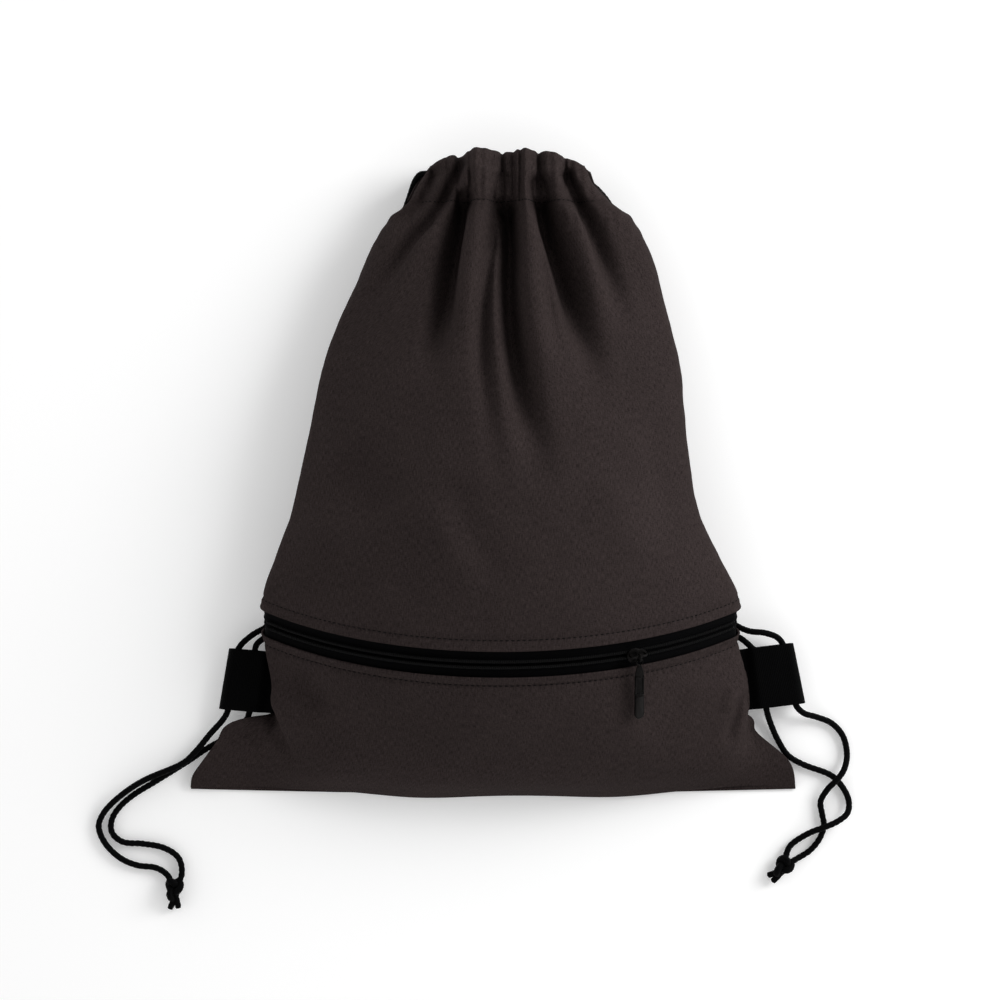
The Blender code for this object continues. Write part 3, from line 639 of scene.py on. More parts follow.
def woven(name, dark, light, thread, sheen):
    """Heathered plain weave: streaks of lighter and darker yarn both ways, over a woven relief."""
    made = Nodes(name, light, 0.9)
    vector = made.weave()
    warp = made.noise(made.stretched(vector, (1.0, 0.12, 1.0)), 1.0 / thread, 2.0, 0.7)
    weft = made.noise(made.stretched(vector, (0.20, 1.0, 1.0)), 1.0 / thread, 2.0, 0.7)
    slub = made.math("ADD", made.math("MULTIPLY", warp, 0.6), made.math("MULTIPLY", weft, 0.4))
    middle = [(a + b) / 2 for a, b in zip(dark, light)]
    heather = made.ramp(slub, [(0.34, dark), (0.50, middle), (0.68, light)])
    patches = made.noise(vector, 22.0, 3.0)
    colour = made.tinted(heather, patches, 0.16)
    made.join(colour, made.shader.inputs["Base Color"])
    over = made.math("MULTIPLY", made.bands(vector, thread, "X"), made.bands(vector, thread, "Y"))
    made.bump(made.math("ADD", over, slub), 0.5, 0.00025)
    made.set("Sheen Weight", sheen)
    made.set("Sheen Roughness", 0.45)
    made.set("Specular IOR Level", 0.03)
    return made.material


def ribbed(name, colour, period, direction, roughness, strength, distance, sheen):
    """Dense black yarn in ribs along the weave's X or Y."""
    made = Nodes(name, colour, roughness)
    vector = made.weave()
    ribs = made.bands(vector, period, direction)
    fuzz = made.noise(vector, 1400.0, 2.0)
    made.tones(fuzz, colour, (0.3, 0.6), (0.7, 1.7))
    made.bump(made.math("ADD", ribs, fuzz), strength, distance)
    made.set("Sheen Weight", sheen)
    made.set("Sheen Roughness", 0.4)
    made.set("Specular IOR Level", 0.02)
    return made.material


def coated_metal(name, colour, roughness):
    made = Nodes(name, colour, roughness, 0.85)
    vector = made.place()
    wear = made.noise(vector, 420.0, 4.0)
    made.tones(wear, colour, (0.45, 1.0), (0.75, 2.2))
    rough = made.math("ADD", made.math("MULTIPLY", wear, 0.25), roughness - 0.12)
    made.join(rough, made.shader.inputs["Roughness"])
    made.bump(made.noise(vector, 1600.0, 3.0), 0.15, 0.0001)
    made.set("Specular IOR Level", 0.15)
    return made.material


def plastic(name, colour, roughness):
    made = Nodes(name, colour, roughness)
    vector = made.place()
    made.bump(made.noise(vector, 2500.0, 2.0), 0.2, 0.0001)
    made.tones(made.noise(vector, 300.0, 2.0), colour, (0.3, 0.8), (0.7, 1.3))
    made.set("Specular IOR Level", 0.12)
    return made.material


# Camera

CAMERA_PLACE = (0.004, -0.015, 1.6)
FRAME_WIDTH = 0.620
FRAME_Z = 0.02
SENSOR = 36.0


def make_camera():
    data = bpy.data.cameras.new("camera")
    data.sensor_width = SENSOR
    data.lens = SENSOR * (CAMERA_PLACE[2] - FRAME_Z) / FRAME_WIDTH
    camera = bpy.data.objects.new("camera", data)
    camera.location = CAMERA_PLACE
    bpy.context.scene.collection.objects.link(camera)
    bpy.context.scene.camera = camera


# Cords

BRAID_STRANDS = 8
BRAID_PITCH = 0.0065
BRAID_DEPTH = 0.00022
CORD_STEP = 0.0009
KNOT_SWELL = 1.12
KNOT_LIFT = 0.0022
KNOTS = {"left": (-0.2000, -0.2580, 0.0055), "right": (0.1815, -0.2440, 0.0055)}


def braid_radius(length, turn):
    """Radius of a round braid: two sets of strands that wind opposite ways."""
    wind = 2 * math.pi * length / BRAID_PITCH
    one = math.cos(BRAID_STRANDS / 2 * turn + wind * BRAID_STRANDS / 4)
    two = math.cos(BRAID_STRANDS / 2 * turn - wind * BRAID_STRANDS / 4)
    return CORD / 2 - BRAID_DEPTH / 2 + BRAID_DEPTH * (max(one, two) - 0.5)


def make_cord(name, points, node, finish):
    """One braided stretch of cord along these points, in place of its CAD node."""
    points = [Vector((p.x, p.y, max(p.z, CORD / 2))) for p in points]
    piece = tube(name, points, braid_radius, 18, finish)
    dress(piece, "bag", "cord", node)


def knot_line(centre, heading):
    """The line of a tightened overhand knot, long side along its heading."""
    turned = Matrix.Rotation(heading, 3, "Z")
    points = []
    for turn in between(0.0, 2 * math.pi, 90)[:-1]:
        x = math.sin(turn) + 2 * math.sin(2 * turn)
        y = math.cos(turn) - 2 * math.cos(2 * turn)
        z = -math.sin(3 * turn)
        points.append(Vector(centre) + turned @ Vector((y * 0.0021, x * 0.0014, z * KNOT_LIFT)))
    return points


def make_knot(side, centre, heading, tails, finish):
    """An overhand knot of both strands, and the two short ends below it."""

    def strand(length, turn):
        return braid_radius(length, turn) * KNOT_SWELL

    line = knot_line(centre, heading)
    knot = tube(f"{side}_knot_cord", line, strand, 16, finish, closed=True)
    dress(knot, "bag", "cord", f"{side}_knot")
    pieces = [knot]
    for i, tail in enumerate(tails):
        points = smooth_route([Vector(centre)] + [Vector(p) for p in tail], 0.0008)
        whole = route_length(points)

        def tapered(length, turn):
            tip = min(1.0, math.sqrt(max(whole - length, 0.0) / 0.0012) + 0.12)
            return braid_radius(length, turn) * tip

        end = tube(f"{side}_knot_end_{i + 1}", points, tapered, 16, finish)
        dress(end, "bag", "cord")
        pieces.append(end)
    return pieces


# Heights of a cord in the front and the back casing, at the middle of the mouth and at its ends
CORD_FRONT_Z = (0.0325, 0.0225)
CORD_BACK_Z = (0.0085, 0.0075)
MOUTH_X = 0.0055
CASING_REACH = 0.0435


def casing_route(start, far, y, side):
    """In through the front casing, round at its far end and back through the other casing."""
    shares = (0.75, 0.4, 0.0, -0.4, -0.75)
    front_end, back_end = CORD_FRONT_Z[1], CORD_BACK_Z[1]

    def run(heights, at):
        middle, end = heights
        return [(MOUTH_X - side * CASING_REACH * share, y, middle + (end - middle) * share**2)
                for share in at]

    turn_z, turn_radius = (front_end + back_end) / 2, (front_end - back_end) / 2
    route = [(start, y, front_end)] + run(CORD_FRONT_Z, shares)
    for a in between(math.pi / 2, -math.pi / 2, 6):
        x = far + side * (0.001 + turn_radius * math.cos(a))
        route.append((x, y, turn_z + turn_radius * math.sin(a)))
    return route + run(CORD_BACK_Z, shares[::-1]) + [(start, y, back_end)]


def make_cords(finish):
    knots = {
        "left": make_knot("left", KNOTS["left"], math.radians(80),
                          [[(-0.2005, -0.2650, 0.0046), (-0.2030, -0.2715, 0.0022)],
                           [(-0.1985, -0.2650, 0.0046), (-0.1975, -0.2710, 0.0022)]], finish),
        "right": make_knot("right", KNOTS["right"], math.radians(50),
                           [[(0.1770, -0.2480, 0.0044), (0.1715, -0.2505, 0.0022)],
                            [(0.1785, -0.2500, 0.0040), (0.1745, -0.2545, 0.0022)]], finish),
    }
    for side, strand, route in (("left", "a", LEFT_A), ("left", "b", LEFT_B),
                                ("right", "a", RIGHT_A), ("right", "b", RIGHT_B)):
        make_cord(f"{side}_cord_{strand}", smooth_route(route + [KNOTS[side]], CORD_STEP),
                  f"{side}_cord_strand_{strand}", finish)
    for side, start, far, y, way in (("left", -0.0397, 0.0490, 0.1870, 1),
                                     ("right", 0.0517, -0.0380, 0.1780, -1)):
        line = smooth_route(casing_route(start, far, y, way), CORD_STEP)
        make_cord(f"{side}_cord_inside", line, f"{side}_cord_in_casing", finish)


# Cloth panels

ACROSS = 300
SOFTENING_ROUNDS = 260
HEM_DROP = 0.0022
HEM_CORNER_DROP = 0.0036
FOLD_STEPS = 14
FOLD_LEAST_REACH = 0.0008
FINE_HEIGHT = 0.0160
FINE_STEP = 0.0009
SEAM_DEPTH = 0.0007
ROLL_HEIGHT = 0.0009
ROLL_HALF = 0.0012
BACK_WAVE_HEIGHT = 0.0078
BACK_WAVES = 9.5
FLAP_STEPS = 34


def heights_between(low, high, step):
    return between(low, high, max(2, round((high - low) / step)))


def shaped(grid, relief, level):
    """The grid moved out by the relief: along its normals, or straight up where level is 1."""
    way = normals_of(grid) * (1 - level[..., None]) + np.array([0.0, 0.0, 1.0]) * level[..., None]
    way /= np.linalg.norm(way, axis=2, keepdims=True)
    return grid + way * relief[..., None]


def softened(grid, amount):
    """The grid with its rows smoothed along their length, where amount is up to 1."""
    soft = grid.copy()
    for _ in range(SOFTENING_ROUNDS):
        soft[:, 1:-1] = (soft[:, :-2] + 2 * soft[:, 1:-1] + soft[:, 2:]) / 4
    return grid + (soft - grid) * amount[..., None]


def hem_drop(x, from_hem):
    """How much further down the bag the hem hangs than its row, most at its corners."""
    return (HEM_DROP + HEM_CORNER_DROP * (x / 0.19) ** 2) * (1 - ease(from_hem, 0.0, 0.045))


def fine_relief(x, y, seed):
    """Slack and handling marks of loose cloth."""
    return (0.0011 * noise_field(x, y, 0.045, seed) + 0.0004 * noise_field(x, y, 0.014, seed + 5)
            + 0.00012 * noise_field(x, y, 0.005, seed + 9))


def seam_press(distance, depth, half_width):
    """The furrow that a line of stitches pulls in."""
    return -depth * bell(distance, half_width)


def edge_roll(distance):
    """The thicker rim where the cloth is folded in along the zip."""
    return ROLL_HEIGHT * bell(distance, ROLL_HALF)


def folded_over(grid, reach, rise, beyond_stitches):
    """The casing: the grid, its top rim folded over by a rise, and its upper rows again behind."""
    rim, over = grid[-1], []
    for turn in between(0.0, math.pi, FOLD_STEPS)[1:]:
        row = rim.copy()
        row[:, 1] += np.maximum(reach, FOLD_LEAST_REACH) * math.sin(turn)
        row[:, 2] += rise / 2 * (1 - math.cos(turn))
        over.append(row)
    inner = [grid[i] + np.array([0.0, 0.0, rise])
             for i in range(len(grid) - 2, 0, -1) if beyond_stitches[i]]
    return np.concatenate([grid, np.array(over), np.array(inner)])


def make_upper_front(finish):
    """From the zip to the casing, which folds over at the top and comes down behind."""
    top = (FOLD_Y - ZIP_SIDE_Y) / ZIP_UP.y
    heights = heights_between(ZIP_BAND_HALF, FINE_HEIGHT, FINE_STEP)
    heights += heights_between(FINE_HEIGHT, top, 0.0016)[1:]
    grid = grid_array([front_row(height, ACROSS) for height in heights])
    side_y = np.array([ZIP_SIDE_Y + h * ZIP_UP.y for h in heights])[:, None] + 0 * grid[..., 0]
    distance = np.array(heights)[:, None] + 0 * grid[..., 0]
    x, y = grid[..., 0], grid[..., 1]
    ruffle = RUFFLE_DEPTH * np.sin(2 * math.pi * x / RUFFLE_PITCH) * ease(side_y, 0.130, 0.175)
    for depth, place in CASING_FOLDS:
        ruffle += depth * bell(x - place, CASING_FOLD_HALF) * ease(side_y, 0.158, 0.176)
    level = ease(side_y, 0.150, 0.170)
    calm = ease(distance, ZIP_BAND_HALF, 0.040)
    room = CASING_ROOM + PANEL_ROOM * (1 - ease(side_y, 0.158, 0.172))
    relief = np.maximum((gather_relief(x, y) + fine_relief(x, y, 1.0)) * calm, -room)
    relief = np.maximum(relief + ruffle * calm, -room - CASING_FOLD_ROOM)
    relief += seam_press(distance - STITCH_FROM_ZIP, SEAM_DEPTH, 0.0016)
    relief += seam_press(side_y - STITCH_Y, SEAM_DEPTH, 0.0018)
    relief += edge_roll(distance - ZIP_BAND_HALF)
    front = shaped(grid, relief, level)
    share = np.abs(np.linspace(-1.0, 1.0, front.shape[1]))
    reach = 0.0085 * (1 - share**3) + 0.22 * relief[-1] * (1 - share**2)
    whole = folded_over(front, reach, -FRONT_CASING_DEPTH, side_y[:, 0] > STITCH_Y + 0.001)
    piece = cloth_piece("upper_front_cloth", whole, CLOTH, finish)
    dress(piece, "bag", "heather_canvas", "front_panel_upper", "front_casing")
    return front, heights


def make_lower_front(finish):
    """The pocket's outer wall, from the hem to the zip, with the flat corners beside the bulge."""
    bottom = (HEM_Y - ZIP_SIDE_Y) / ZIP_UP.y
    heights = heights_between(bottom, -FINE_HEIGHT, 0.0013)
    heights += heights_between(-FINE_HEIGHT, -ZIP_BAND_HALF, FINE_STEP)[1:]
    grid = grid_array([front_row(height, ACROSS, FLAP_STEPS) for height in heights])
    distance = np.array(heights)[:, None] + 0 * grid[..., 0]
    side_y = ZIP_SIDE_Y + distance * ZIP_UP.y
    from_hem = side_y - HEM_Y
    grid = softened(grid, 1 - ease(from_hem, 0.020, 0.046))
    x, y = grid[..., 0], grid[..., 1]
    relief = gather_relief(x, y) + 1.3 * fine_relief(x, y, 3.0)
    relief = relief * ease(-distance, ZIP_BAND_HALF, 0.036) * ease(from_hem, 0.0, 0.020)
    relief += seam_press(distance + STITCH_FROM_ZIP, SEAM_DEPTH, 0.0016)
    relief += edge_roll(distance + ZIP_BAND_HALF)
    relief = np.maximum(relief, -0.0004 - 0.10 * from_hem)
    shape = shaped(grid, relief, np.zeros(relief.shape))
    shape[..., 1] -= hem_drop(x, from_hem)
    shape[..., 2] += 0.0009 * np.sin(x / 0.0105) * bell(from_hem, 0.012)
    shape[..., 1] += 0.0010 * np.sin(x / 0.019 + 0.8) * bell(from_hem, 0.010)
    piece = cloth_piece("lower_front_cloth", shape, CLOTH, finish)
    dress(piece, "bag", "heather_canvas", "front_panel_lower")
    return shape, heights


def back_row(side_y, steps, lift, wide):
    """One row of the back: flat on the ground in the middle, rising to the side seams."""
    row = []
    for share in between(-1.0, 1.0, steps):
        side = -1 if share < 0 else 1
        size = abs(share)
        rise = max(0.0, (size - BACK_FLAT_SHARE) / (1 - BACK_FLAT_SHARE)) ** 2
        x = side * size * (seam_x(side_y, side) + wide)
        y = side_y - profile(BACK_BOW, side_y) * (1 - size**2)
        z = lift + (seam_height(side_y) - lift) * rise
        row.append(Vector((x, y, max(z, 0.0))))
    return row


def make_back(finish):
    """The back, gathered like the front, with its own casing folded over at the top."""
    places = heights_between(HEM_Y, FOLD_Y - 0.002, 0.0018)
    rows = []
    for y in places:
        up = float(ease(y, 0.135, 0.172))
        rows.append(back_row(y, ACROSS, BACK_CASING_RISE * up, 0.0045 * up))
    grid = grid_array(rows)
    grid[..., 1] -= hem_drop(grid[..., 0], np.array(places)[:, None] - HEM_Y)
    x, y = grid[..., 0], grid[..., 1]
    share = np.linspace(-1.0, 1.0, grid.shape[1])[None, :] + 0 * x
    strength = ease(y, -0.150, 0.060) * (1 - ease(np.abs(share), 0.90, 1.0))
    turns = share * BACK_WAVES + 0.4 * noise_field(x, y, 0.08, 4.0)
    waves = 0.5 - 0.5 * np.cos(2 * math.pi * turns)
    relief = BACK_WAVE_HEIGHT * waves * strength * (1 - 0.6 * ease(y, 0.150, 0.170))
    relief += 0.0006 * (1 + noise_field(x, y, 0.03, 7.0)) * ease(y, HEM_Y, HEM_Y + 0.02)
    relief += seam_press(y - STITCH_Y, -0.0016, 0.0022)
    back = grid + relief[..., None] * np.array([0.0, 0.0, 1.0])
    reach = 0.0082 * (1 - share[0] ** 4) + 0.0012 * np.sin(2 * math.pi * share[0] * 6.5)
    whole = folded_over(back, reach, BACK_CASING_DEPTH, np.array(places) > STITCH_Y + 0.001)
    piece = cloth_piece("back_cloth", whole, CLOTH, finish, flip=True)
    dress(piece, "bag", "heather_canvas", "back_panel", "back_casing")


def make_lining(finish):
    """The back wall of the zipped pocket, inside the bag."""
    inset, reach = 0.0085, 0.8
    rows = []
    for height in between(-0.076, 0.012, 40):
        arch, shift = arch_at(height, inset)
        angles = between(-arch.turn * reach, arch.turn * reach, 90)
        rows.append([arch.point(a) + shift for a in angles])
    grid = grid_array(rows)
    relief = 0.0010 * noise_field(grid[..., 0], grid[..., 1], 0.030, 12.0)
    shape = shaped(grid, relief, np.zeros(relief.shape))
    piece = cloth_piece("pocket_lining_cloth", shape, LINING, finish)
    dress(piece, "bag", "lining_cloth", "pocket_lining")


make_camera()

heather = woven("heather_canvas_look", (0.0100, 0.0074, 0.0072), (0.0460, 0.0345, 0.0335),
                0.00045, 0.0)
lining_cloth = woven("lining_look", (0.010, 0.010, 0.011), (0.030, 0.030, 0.032), 0.0004, 0.05)
cord_yarn = ribbed("cord_look", (0.0017, 0.0017, 0.0019), 0.0006, "X", 0.60, 0.35, 0.0002, 0.02)
webbing_yarn = ribbed("webbing_look", (0.0012, 0.0012, 0.0013), 0.0011, "X", 0.75, 0.55,
                      0.0003, 0.02)
tape_yarn = ribbed("zip_tape_look", (0.0014, 0.0014, 0.0016), 0.0005, "Y", 0.78, 0.40, 0.0002, 0.01)
coil_plastic = plastic("zip_coil_look", (0.0014, 0.0014, 0.0015), 0.60)
gunmetal = coated_metal("zip_metal_look", (0.0040, 0.0036, 0.0035), 0.40)
pull_rubber = plastic("pull_grip_look", (0.0030, 0.0022, 0.0020), 0.45)
thread = ribbed("thread_look", (0.0040, 0.0038, 0.0038), 0.0004, "X", 0.70, 0.40, 0.0001, 0.05)

make_cords(cord_yarn)
upper_front, upper_heights = make_upper_front(heather)
lower_front, lower_heights = make_lower_front(heather)
make_back(heather)
make_lining(lining_cloth)


# Zip

def zip_place(angle, up, out=0.0):
    """A point of the zip: turned this far round its arch, up the bag, and out of the cloth."""
    arch = Arch(ZIP_SIDE_Y)
    return arch.point(angle) + ZIP_UP * up + zip_normal(angle) * out


def zip_normal(angle):
    return Vector((math.sin(angle), 0.0, 0.0)) + ZIP_OUT * math.cos(angle)


def make_tapes(finish):
    """The woven tapes, with a low ridge where each row of teeth is sewn on."""
    arch = Arch(ZIP_SIDE_Y, TAPE_INSET)
    angles = arch.even(ACROSS)
    for name, low, high in (("zip_tape_upper", TAPE_GAP_HALF, TAPE_HALF),
                            ("zip_tape_lower", -TAPE_HALF, -TAPE_GAP_HALF)):
        heights = between(low, high, 16)
        grid = grid_array([[arch.point(a) + ZIP_UP * up for a in angles] for up in heights])
        up = np.array(heights)[:, None] + 0 * grid[..., 0]
        relief = 0.0004 * bell(np.abs(up) - COIL_OFFSET, 0.0010)
        relief -= 0.0003 * bell(np.abs(up) - 0.0042, 0.0006)
        shape = shaped(grid, relief, np.zeros(relief.shape))
        piece = cloth_piece(f"{name}_cloth", shape, TAPE, finish)
        dress(piece, "bag", "zip_tape", name)


COIL_WIRE = 0.00034
COIL_CORE = 0.00062
COIL_HALF_WIDTH = 0.00085
COIL_HALF_HEIGHT = 0.00075


def make_coils(finish):
    """Each row of teeth is a fine coil of nylon round a cord, flattened against the tape."""
    arch = Arch(ZIP_SIDE_Y)
    inset = TAPE_INSET - 0.0003 - COIL_RADIUS
    turns = round(2 * arch.turn * arch.radius / COIL_PITCH)
    steps = 10
    for name, offset in (("zip_coil_upper", COIL_OFFSET), ("zip_coil_lower", -COIL_OFFSET)):
        side = math.copysign(1.0, offset)
        points = []
        for i in range(turns * steps + 1):
            share = i / (turns * steps)
            angle = (2 * share - 1) * arch.turn
            wind = 2 * math.pi * i / steps
            up = offset - side * COIL_HALF_WIDTH * math.cos(wind)
            out = -inset + COIL_HALF_HEIGHT * math.sin(wind)
            points.append(zip_place(angle, up, out))
        coil = tube(f"{name}_teeth", points, even_wire(COIL_WIRE), 5, finish)
        dress(coil, "bag", "zip_coil", name)
        core = [zip_place(a, offset, -inset) for a in between(-arch.turn, arch.turn, 150)]
        cord = tube(f"{name}_cord", core, even_wire(COIL_CORE), 8, thread)
        dress(cord, "bag", "zip_tape")


def slider_frame():
    """Place and axes of the slider: along the zip, up the bag, and out of the cloth."""
    out = zip_normal(SLIDER_ANGLE)
    along = Vector((math.cos(SLIDER_ANGLE), 0.0, 0.0)) - ZIP_OUT * math.sin(SLIDER_ANGLE)
    place = Matrix((along, ZIP_UP, out)).transposed().to_4x4()
    place.translation = zip_place(SLIDER_ANGLE, 0.0)
    return place


def plate(shape, outline, low, high, bevel):
    """A flat plate between two heights, its upright edges and rims softly rounded."""
    lower = [shape.verts.new((x, y, low)) for x, y in outline]
    upper = [shape.verts.new((x, y, high)) for x, y in outline]
    faces = [shape.faces.new(lower[::-1]), shape.faces.new(upper)]
    for i in range(len(outline)):
        j = (i + 1) % len(outline)
        faces.append(shape.faces.new((lower[i], lower[j], upper[j], upper[i])))
    rims = [e for face in faces[:2] for e in face.edges]
    bmesh.ops.bevel(shape, geom=rims, offset=bevel, segments=3, affect="EDGES", profile=0.6)


def mirrored(half):
    """A whole outline from the half above the X axis, listed from its -X end."""
    return half + [(x, -y) for x, y in half[::-1]]


def placed(made, place):
    """The mesh moved to its place, so that its object stays at the origin."""
    made.data.transform(place)
    return made


def make_slider(finish, place):
    """Two shield-shaped plates with flanged sides, a neck between them and a crown on top."""
    shape = bmesh.new()
    half, wide, narrow = SLIDER_LENGTH / 2, SLIDER_HALF_WIDTH, SLIDER_HALF_WIDTH * 0.74
    shield = [(half * math.cos(a), narrow * 0.9 * math.sin(a)) for a in between(0.30, 1.1, 4)]
    body = [(-half, 0.0009), (-half + 0.0007, 0.0030), (-half + 0.0022, wide),
            (-0.0012, wide * 0.97), (0.0026, narrow)]
    outline = mirrored(body + shield[::-1])[::-1]
    plate(shape, outline, 0.0012, SLIDER_TOP, 0.00035)
    plate(shape, outline, -0.0036, -0.0025, 0.00035)
    plate(shape, mirrored([(-half + 0.0006, 0.0004), (-0.0022, 0.0004), (-0.0010, 0.0001)])[::-1],
          -0.0026, 0.0013, 0.00005)
    slider = placed(bmesh_object("slider_body", shape, finish), place)
    dress(slider, "slider", "zip_metal", "zip_slider")

    reach = half - 0.0015
    foot, height = SLIDER_TOP - 0.0002, SLIDER_TOP + CROWN_HEIGHT
    bow = [(-reach, foot), (-reach, height - 0.0014), (-reach + 0.0005, height - 0.0004),
           (-reach + 0.0016, height), (0.0, height + 0.0001), (reach - 0.0016, height),
           (reach - 0.0005, height - 0.0004), (reach, height - 0.0014), (reach, foot)]
    line = smooth_route([place @ Vector((x, 0.0, z)) for x, z in bow], 0.0003)
    crown = tube("slider_crown_bow", line, even_wire(CROWN_WIRE), 12, finish)
    dress(crown, "slider", "zip_metal", "slider_crown")


def pull_frame(place):
    """The pull's own place: its eye hangs on the crown and it lies down the bag."""
    flat = place @ Matrix.Rotation(PULL_DIP, 4, "X")
    flat.translation = place @ Vector((0.0, 0.0, SLIDER_TOP + CROWN_HEIGHT))
    return flat @ Matrix.Translation((0.0, -PULL_HANG, 0.0))


def eye_ring(shape, radius, hole, height):
    """A round eye: a washer whose rims are rounded."""
    sides, section = 40, 8
    rows = []
    for i in range(sides):
        a = 2 * math.pi * i / sides
        row = []
        for j in range(section):
            b = 2 * math.pi * j / section
            r = (radius + hole) / 2 + (radius - hole) / 2 * math.cos(b)
            row.append(shape.verts.new((r * math.cos(a), r * math.sin(a), height * math.sin(b))))
        rows.append(row)
    for a, b in zip(rows, rows[1:] + rows[:1]):
        for j in range(section):
            k = (j + 1) % section
            shape.faces.new((a[j], b[j], b[k], a[k]))


def tip_arc(radius, tip):
    """The pull's round end, from its right side to its left."""
    return [(radius * math.cos(a), tip + radius * math.sin(a)) for a in between(0.0, -math.pi, 14)]


def make_pull(finish, rubber, place):
    """A long pull: a framed upper part with a slot's recess, and a solid gripping end."""
    frame_place = pull_frame(place)
    half, deep = PULL_WIDTH / 2, PULL_THICKNESS / 2
    tip = -PULL_LENGTH + PULL_HANG + half
    split = tip + PULL_GRIP

    shape = bmesh.new()
    eye_ring(shape, EYE_RADIUS, 0.0015, deep)
    neck = [(-half, -0.0090), (-0.0021, -0.0046), (-0.0010, -0.0019)]
    round_tip = tip_arc(half, tip)
    core = neck + [(-x, y) for x, y in neck[::-1]] + round_tip
    plate(shape, core, -deep * 0.55, deep * 0.55, 0.00025)
    for side in (-1, 1):
        low, high = side * (half - PULL_RAIL), side * half
        bar = [(low, -0.0092), (high, -0.0092), (high, split), (low, split)]
        plate(shape, bar, -deep, deep, 0.0003)
    grip = [(half, split), (half, tip)] + round_tip[1:-1] + [(-half, tip), (-half, split)]
    plate(shape, grip, -deep, deep, 0.0004)
    for y in (-0.0098, split + 0.0006):
        cross = [(half, y - 0.0008), (-half, y - 0.0008), (-half, y + 0.0006), (half, y + 0.0006)]
        plate(shape, cross, -deep, deep, 0.0003)
    bmesh.ops.recalc_face_normals(shape, faces=shape.faces)
    pull = placed(bmesh_object("zip_pull", shape, finish), frame_place)
    dress(pull, "pull", "zip_metal", "pull_tab")

    pad = bmesh.new()
    pad_half, pad_top = half - 0.0007, split - 0.0016
    outline = [(pad_half, pad_top)] + tip_arc(pad_half, tip) + [(-pad_half, pad_top)]
    plate(pad, outline, -deep - 0.00012, deep + 0.00012, 0.0001)
    bmesh.ops.recalc_face_normals(pad, faces=pad.faces)
    cover = placed(bmesh_object("zip_pull_grip", pad, rubber), frame_place)
    dress(cover, "pull", "zip_metal")


# Webbing loops

TAB_NOSE = 0.0048
TAB_SHEAR = 0.0030
TAB_SPLIT = 0.0145


def make_tab(name, foot, lean, length, finish):
    """A loop of webbing folded over the cords, its sides slanting as it is pulled."""
    thick = 2 * WEBBING + 0.0003
    side = -1 if foot.x < 0 else 1

    def half_at(x):
        return thick / 2 + (TAB_NOSE - thick / 2) * float(ease(x, 0.0085, TAB_SPLIT))

    down_side = [(x, -half_at(x)) for x in between(0.0, TAB_SPLIT, 14)]
    nose = [(length - TAB_NOSE + TAB_NOSE * math.sin(a), -TAB_NOSE * math.cos(a))
            for a in between(0.0, math.pi, 22)]
    flat = [(x, -TAB_NOSE) for x in between(TAB_SPLIT, length - TAB_NOSE, 16)[1:-1]]
    section = down_side + flat + nose + [(x, -z) for x, z in (down_side + flat)[::-1]]
    down = Vector((side * math.sin(lean), -math.cos(lean), 0.0))
    out = Vector((side * math.cos(lean), math.sin(lean), 0.0))
    rows = []
    for width in between(-WEBBING_WIDTH / 2, WEBBING_WIDTH / 2, 44):
        slide = TAB_SHEAR * width / WEBBING_WIDTH
        edge = ease(abs(width), WEBBING_WIDTH / 2 - 0.0015, WEBBING_WIDTH / 2)
        row = []
        for x, z in section:
            far = x * (1 + slide * x / length**2)
            lift = 1 - 0.04 * edge
            wave = 0.0004 * noise.noise(Vector((x / 0.012, width / 0.012, 2.0)))
            row.append(foot + out * far + down * width + Vector((0.0, 0.0, z * lift + wave)))
        rows.append(row)
    piece = cloth_piece(f"{name}_webbing", grid_array(rows), WEBBING, finish, flip=side < 0)
    dress(piece, "bag", "webbing", name)


# Stitches

STITCH_PITCH = 0.0034
STITCH_LENGTH = 0.0024
THREAD_RADIUS = 0.00028


def stitch_run(name, line, finish):
    """Short threads lying along a line of points and normals, each dipping in at both ends."""
    points = [Vector(p) for p, _ in line]
    normals = [Vector(n) for _, n in line]
    lengths = [0.0]
    for a, b in zip(points, points[1:]):
        lengths.append(lengths[-1] + (b - a).length)
    places, faces, weave = [], [], []
    sides, steps = 6, 6

    def at(length):
        i = int(np.searchsorted(lengths, length)) - 1
        i = min(max(i, 0), len(points) - 2)
        t = (length - lengths[i]) / max(lengths[i + 1] - lengths[i], 1e-9)
        return points[i].lerp(points[i + 1], t), normals[i].lerp(normals[i + 1], t).normalized()

    for k in range(int(lengths[-1] / STITCH_PITCH)):
        start = (k + 0.15) * STITCH_PITCH
        first = len(places)
        for i in range(steps + 1):
            share = i / steps
            point, normal = at(start + STITCH_LENGTH * share)
            ahead, _ = at(start + STITCH_LENGTH * share + 0.0002)
            tangent = (ahead - point).normalized()
            across = normal.cross(tangent).normalized()
            rise = THREAD_RADIUS * (2.2 * math.sin(math.pi * share) - 1.2)
            for j in range(sides):
                turn = 2 * math.pi * j / sides
                way = across * math.cos(turn) + normal * math.sin(turn)
                places.append(point + normal * rise + way * THREAD_RADIUS)
                weave.append((start + STITCH_LENGTH * share, turn, 0.0))
        for i in range(steps):
            for j in range(sides):
                a, b = first + i * sides + j, first + i * sides + (j + 1) % sides
                faces.append((a, b, b + sides, a + sides))
        last = first + steps * sides
        faces.append(tuple(range(first, first + sides))[::-1])
        faces.append(tuple(range(last, last + sides)))
    dress(woven_object(name, places, faces, weave, finish), "bag", "heather_canvas")


def grid_line(grid, row, inset):
    """Points and normals along one row of a grid, without this many points at each end."""
    normals = normals_of(grid)
    return [(grid[row, i], normals[row, i]) for i in range(inset, grid.shape[1] - inset)]


def nearest_row(heights, height):
    return min(range(len(heights)), key=lambda i: abs(heights[i] - height))


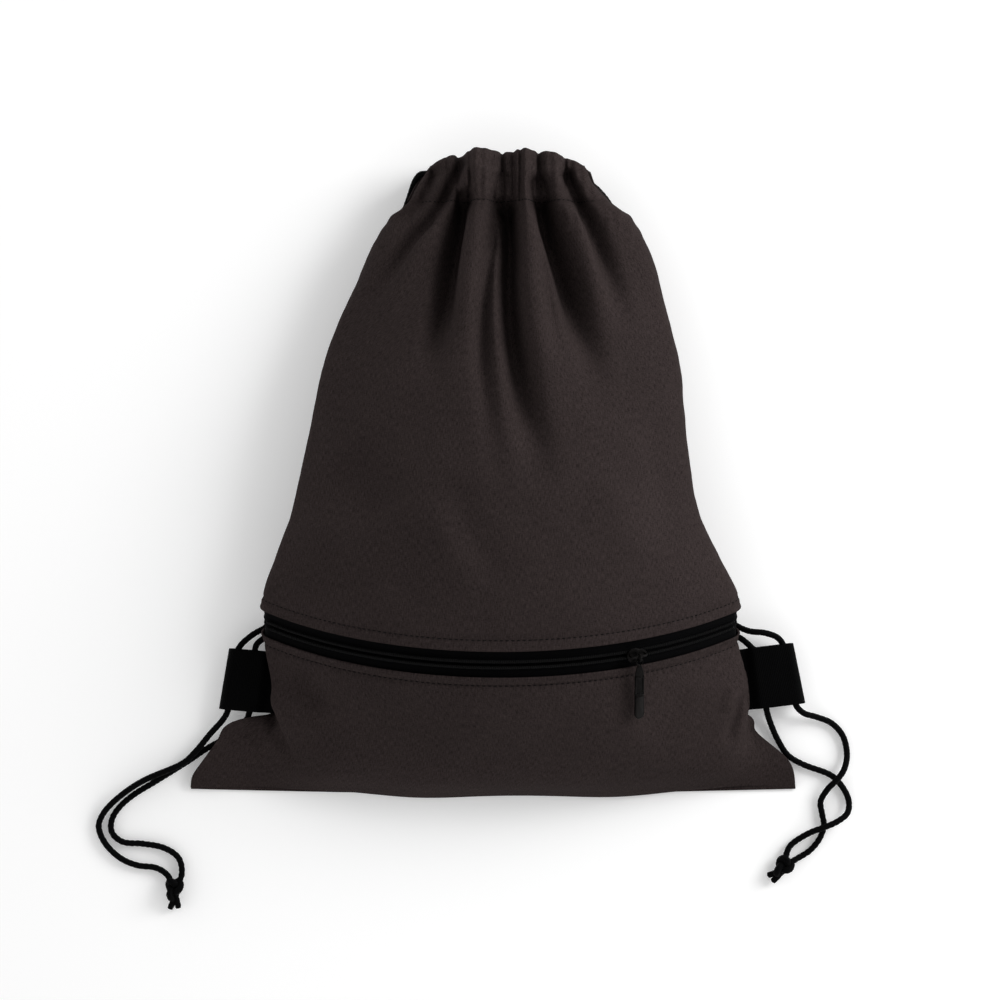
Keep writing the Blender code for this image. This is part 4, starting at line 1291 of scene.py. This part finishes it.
def make_stitches(finish):
    """Topstitching above and below the zip and under the casing."""
    casing_height = (STITCH_Y - ZIP_SIDE_Y) / ZIP_UP.y
    for name, grid, heights, height, inset in (
            ("stitches_above_zip", upper_front, upper_heights, STITCH_FROM_ZIP, 2),
            ("stitches_below_zip", lower_front, lower_heights, -STITCH_FROM_ZIP, FLAP_STEPS + 2),
            ("stitches_under_casing", upper_front, upper_heights, casing_height, 24)):
        stitch_run(name, grid_line(grid, nearest_row(heights, height), inset), finish)


make_tapes(tape_yarn)
make_coils(coil_plastic)
slider_place = slider_frame()
make_slider(gunmetal, slider_place)
make_pull(gunmetal, pull_rubber, slider_place)
for slot in bpy.data.objects["pull_ring"].material_slots:
    slot.material = gunmetal
make_tab("left_tab", Vector((-0.1316, -0.1297, 0.0078)), math.radians(5), 0.0370, webbing_yarn)
make_tab("right_tab", Vector((0.1503, -0.1280, 0.0078)), math.radians(7), 0.0410, webbing_yarn)
make_stitches(thread)


# Studio

FLOOR_HALF = 6.0
FLOOR_Z = -0.0004
FLOOR_GLOW = 0.20
KEY_ENERGY = 26.0
KEY_SIZE = 0.9
KEY_PLACE = Vector((1.5, 0.7, 0.85))
KEY_AIM = Vector((0.0, 0.0, 0.03))
ROOM_STRENGTH = 1.25


def make_floor():
    """A pale floor that glows a little, as a bright backdrop does."""
    mesh = bpy.data.meshes.new("floor")
    corners = [(x * FLOOR_HALF, y * FLOOR_HALF, 0) for x, y in ((-1, -1), (1, -1), (1, 1), (-1, 1))]
    mesh.from_pydata(corners, [], [(0, 1, 2, 3)])
    floor = bpy.data.objects.new("floor", mesh)
    floor.location.z = FLOOR_Z
    bpy.context.scene.collection.objects.link(floor)
    pale = Nodes("floor_look", (0.90, 0.90, 0.90), 0.9)
    pale.set("Specular IOR Level", 0.0)
    pale.set("Emission Color", (1.0, 1.0, 1.0, 1.0))
    pale.set("Emission Strength", FLOOR_GLOW)
    mesh.materials.append(pale.material)


def make_key_light():
    data = bpy.data.lights.new("key", "AREA")
    data.energy = KEY_ENERGY
    data.size = KEY_SIZE
    light = bpy.data.objects.new("key", data)
    light.location = KEY_PLACE
    light.rotation_euler = (KEY_AIM - KEY_PLACE).to_track_quat("-Z", "Y").to_euler()
    bpy.context.scene.collection.objects.link(light)


def make_world():
    """A soft room that is brighter towards its walls than overhead, so that folds stay dark."""
    world = bpy.data.worlds.new("studio")
    world.use_nodes = True
    tree = world.node_tree
    direction = tree.nodes.new("ShaderNodeTexCoord").outputs["Generated"]
    parts = tree.nodes.new("ShaderNodeSeparateXYZ")
    ramp = tree.nodes.new("ShaderNodeValToRGB")
    tree.links.new(direction, parts.inputs["Vector"])
    tree.links.new(parts.outputs["Z"], ramp.inputs["Fac"])
    for element, (height, grey) in zip(ramp.color_ramp.elements, ((0.45, 1.0), (0.92, 0.10))):
        element.position = height
        element.color = (grey, grey, grey, 1.0)
    background = tree.nodes["Background"]
    background.inputs["Strength"].default_value = ROOM_STRENGTH
    tree.links.new(ramp.outputs["Color"], background.inputs["Color"])
    bpy.context.scene.world = world


make_floor()
make_world()
make_key_light()
bpy.context.scene.view_settings.view_transform = "Standard"
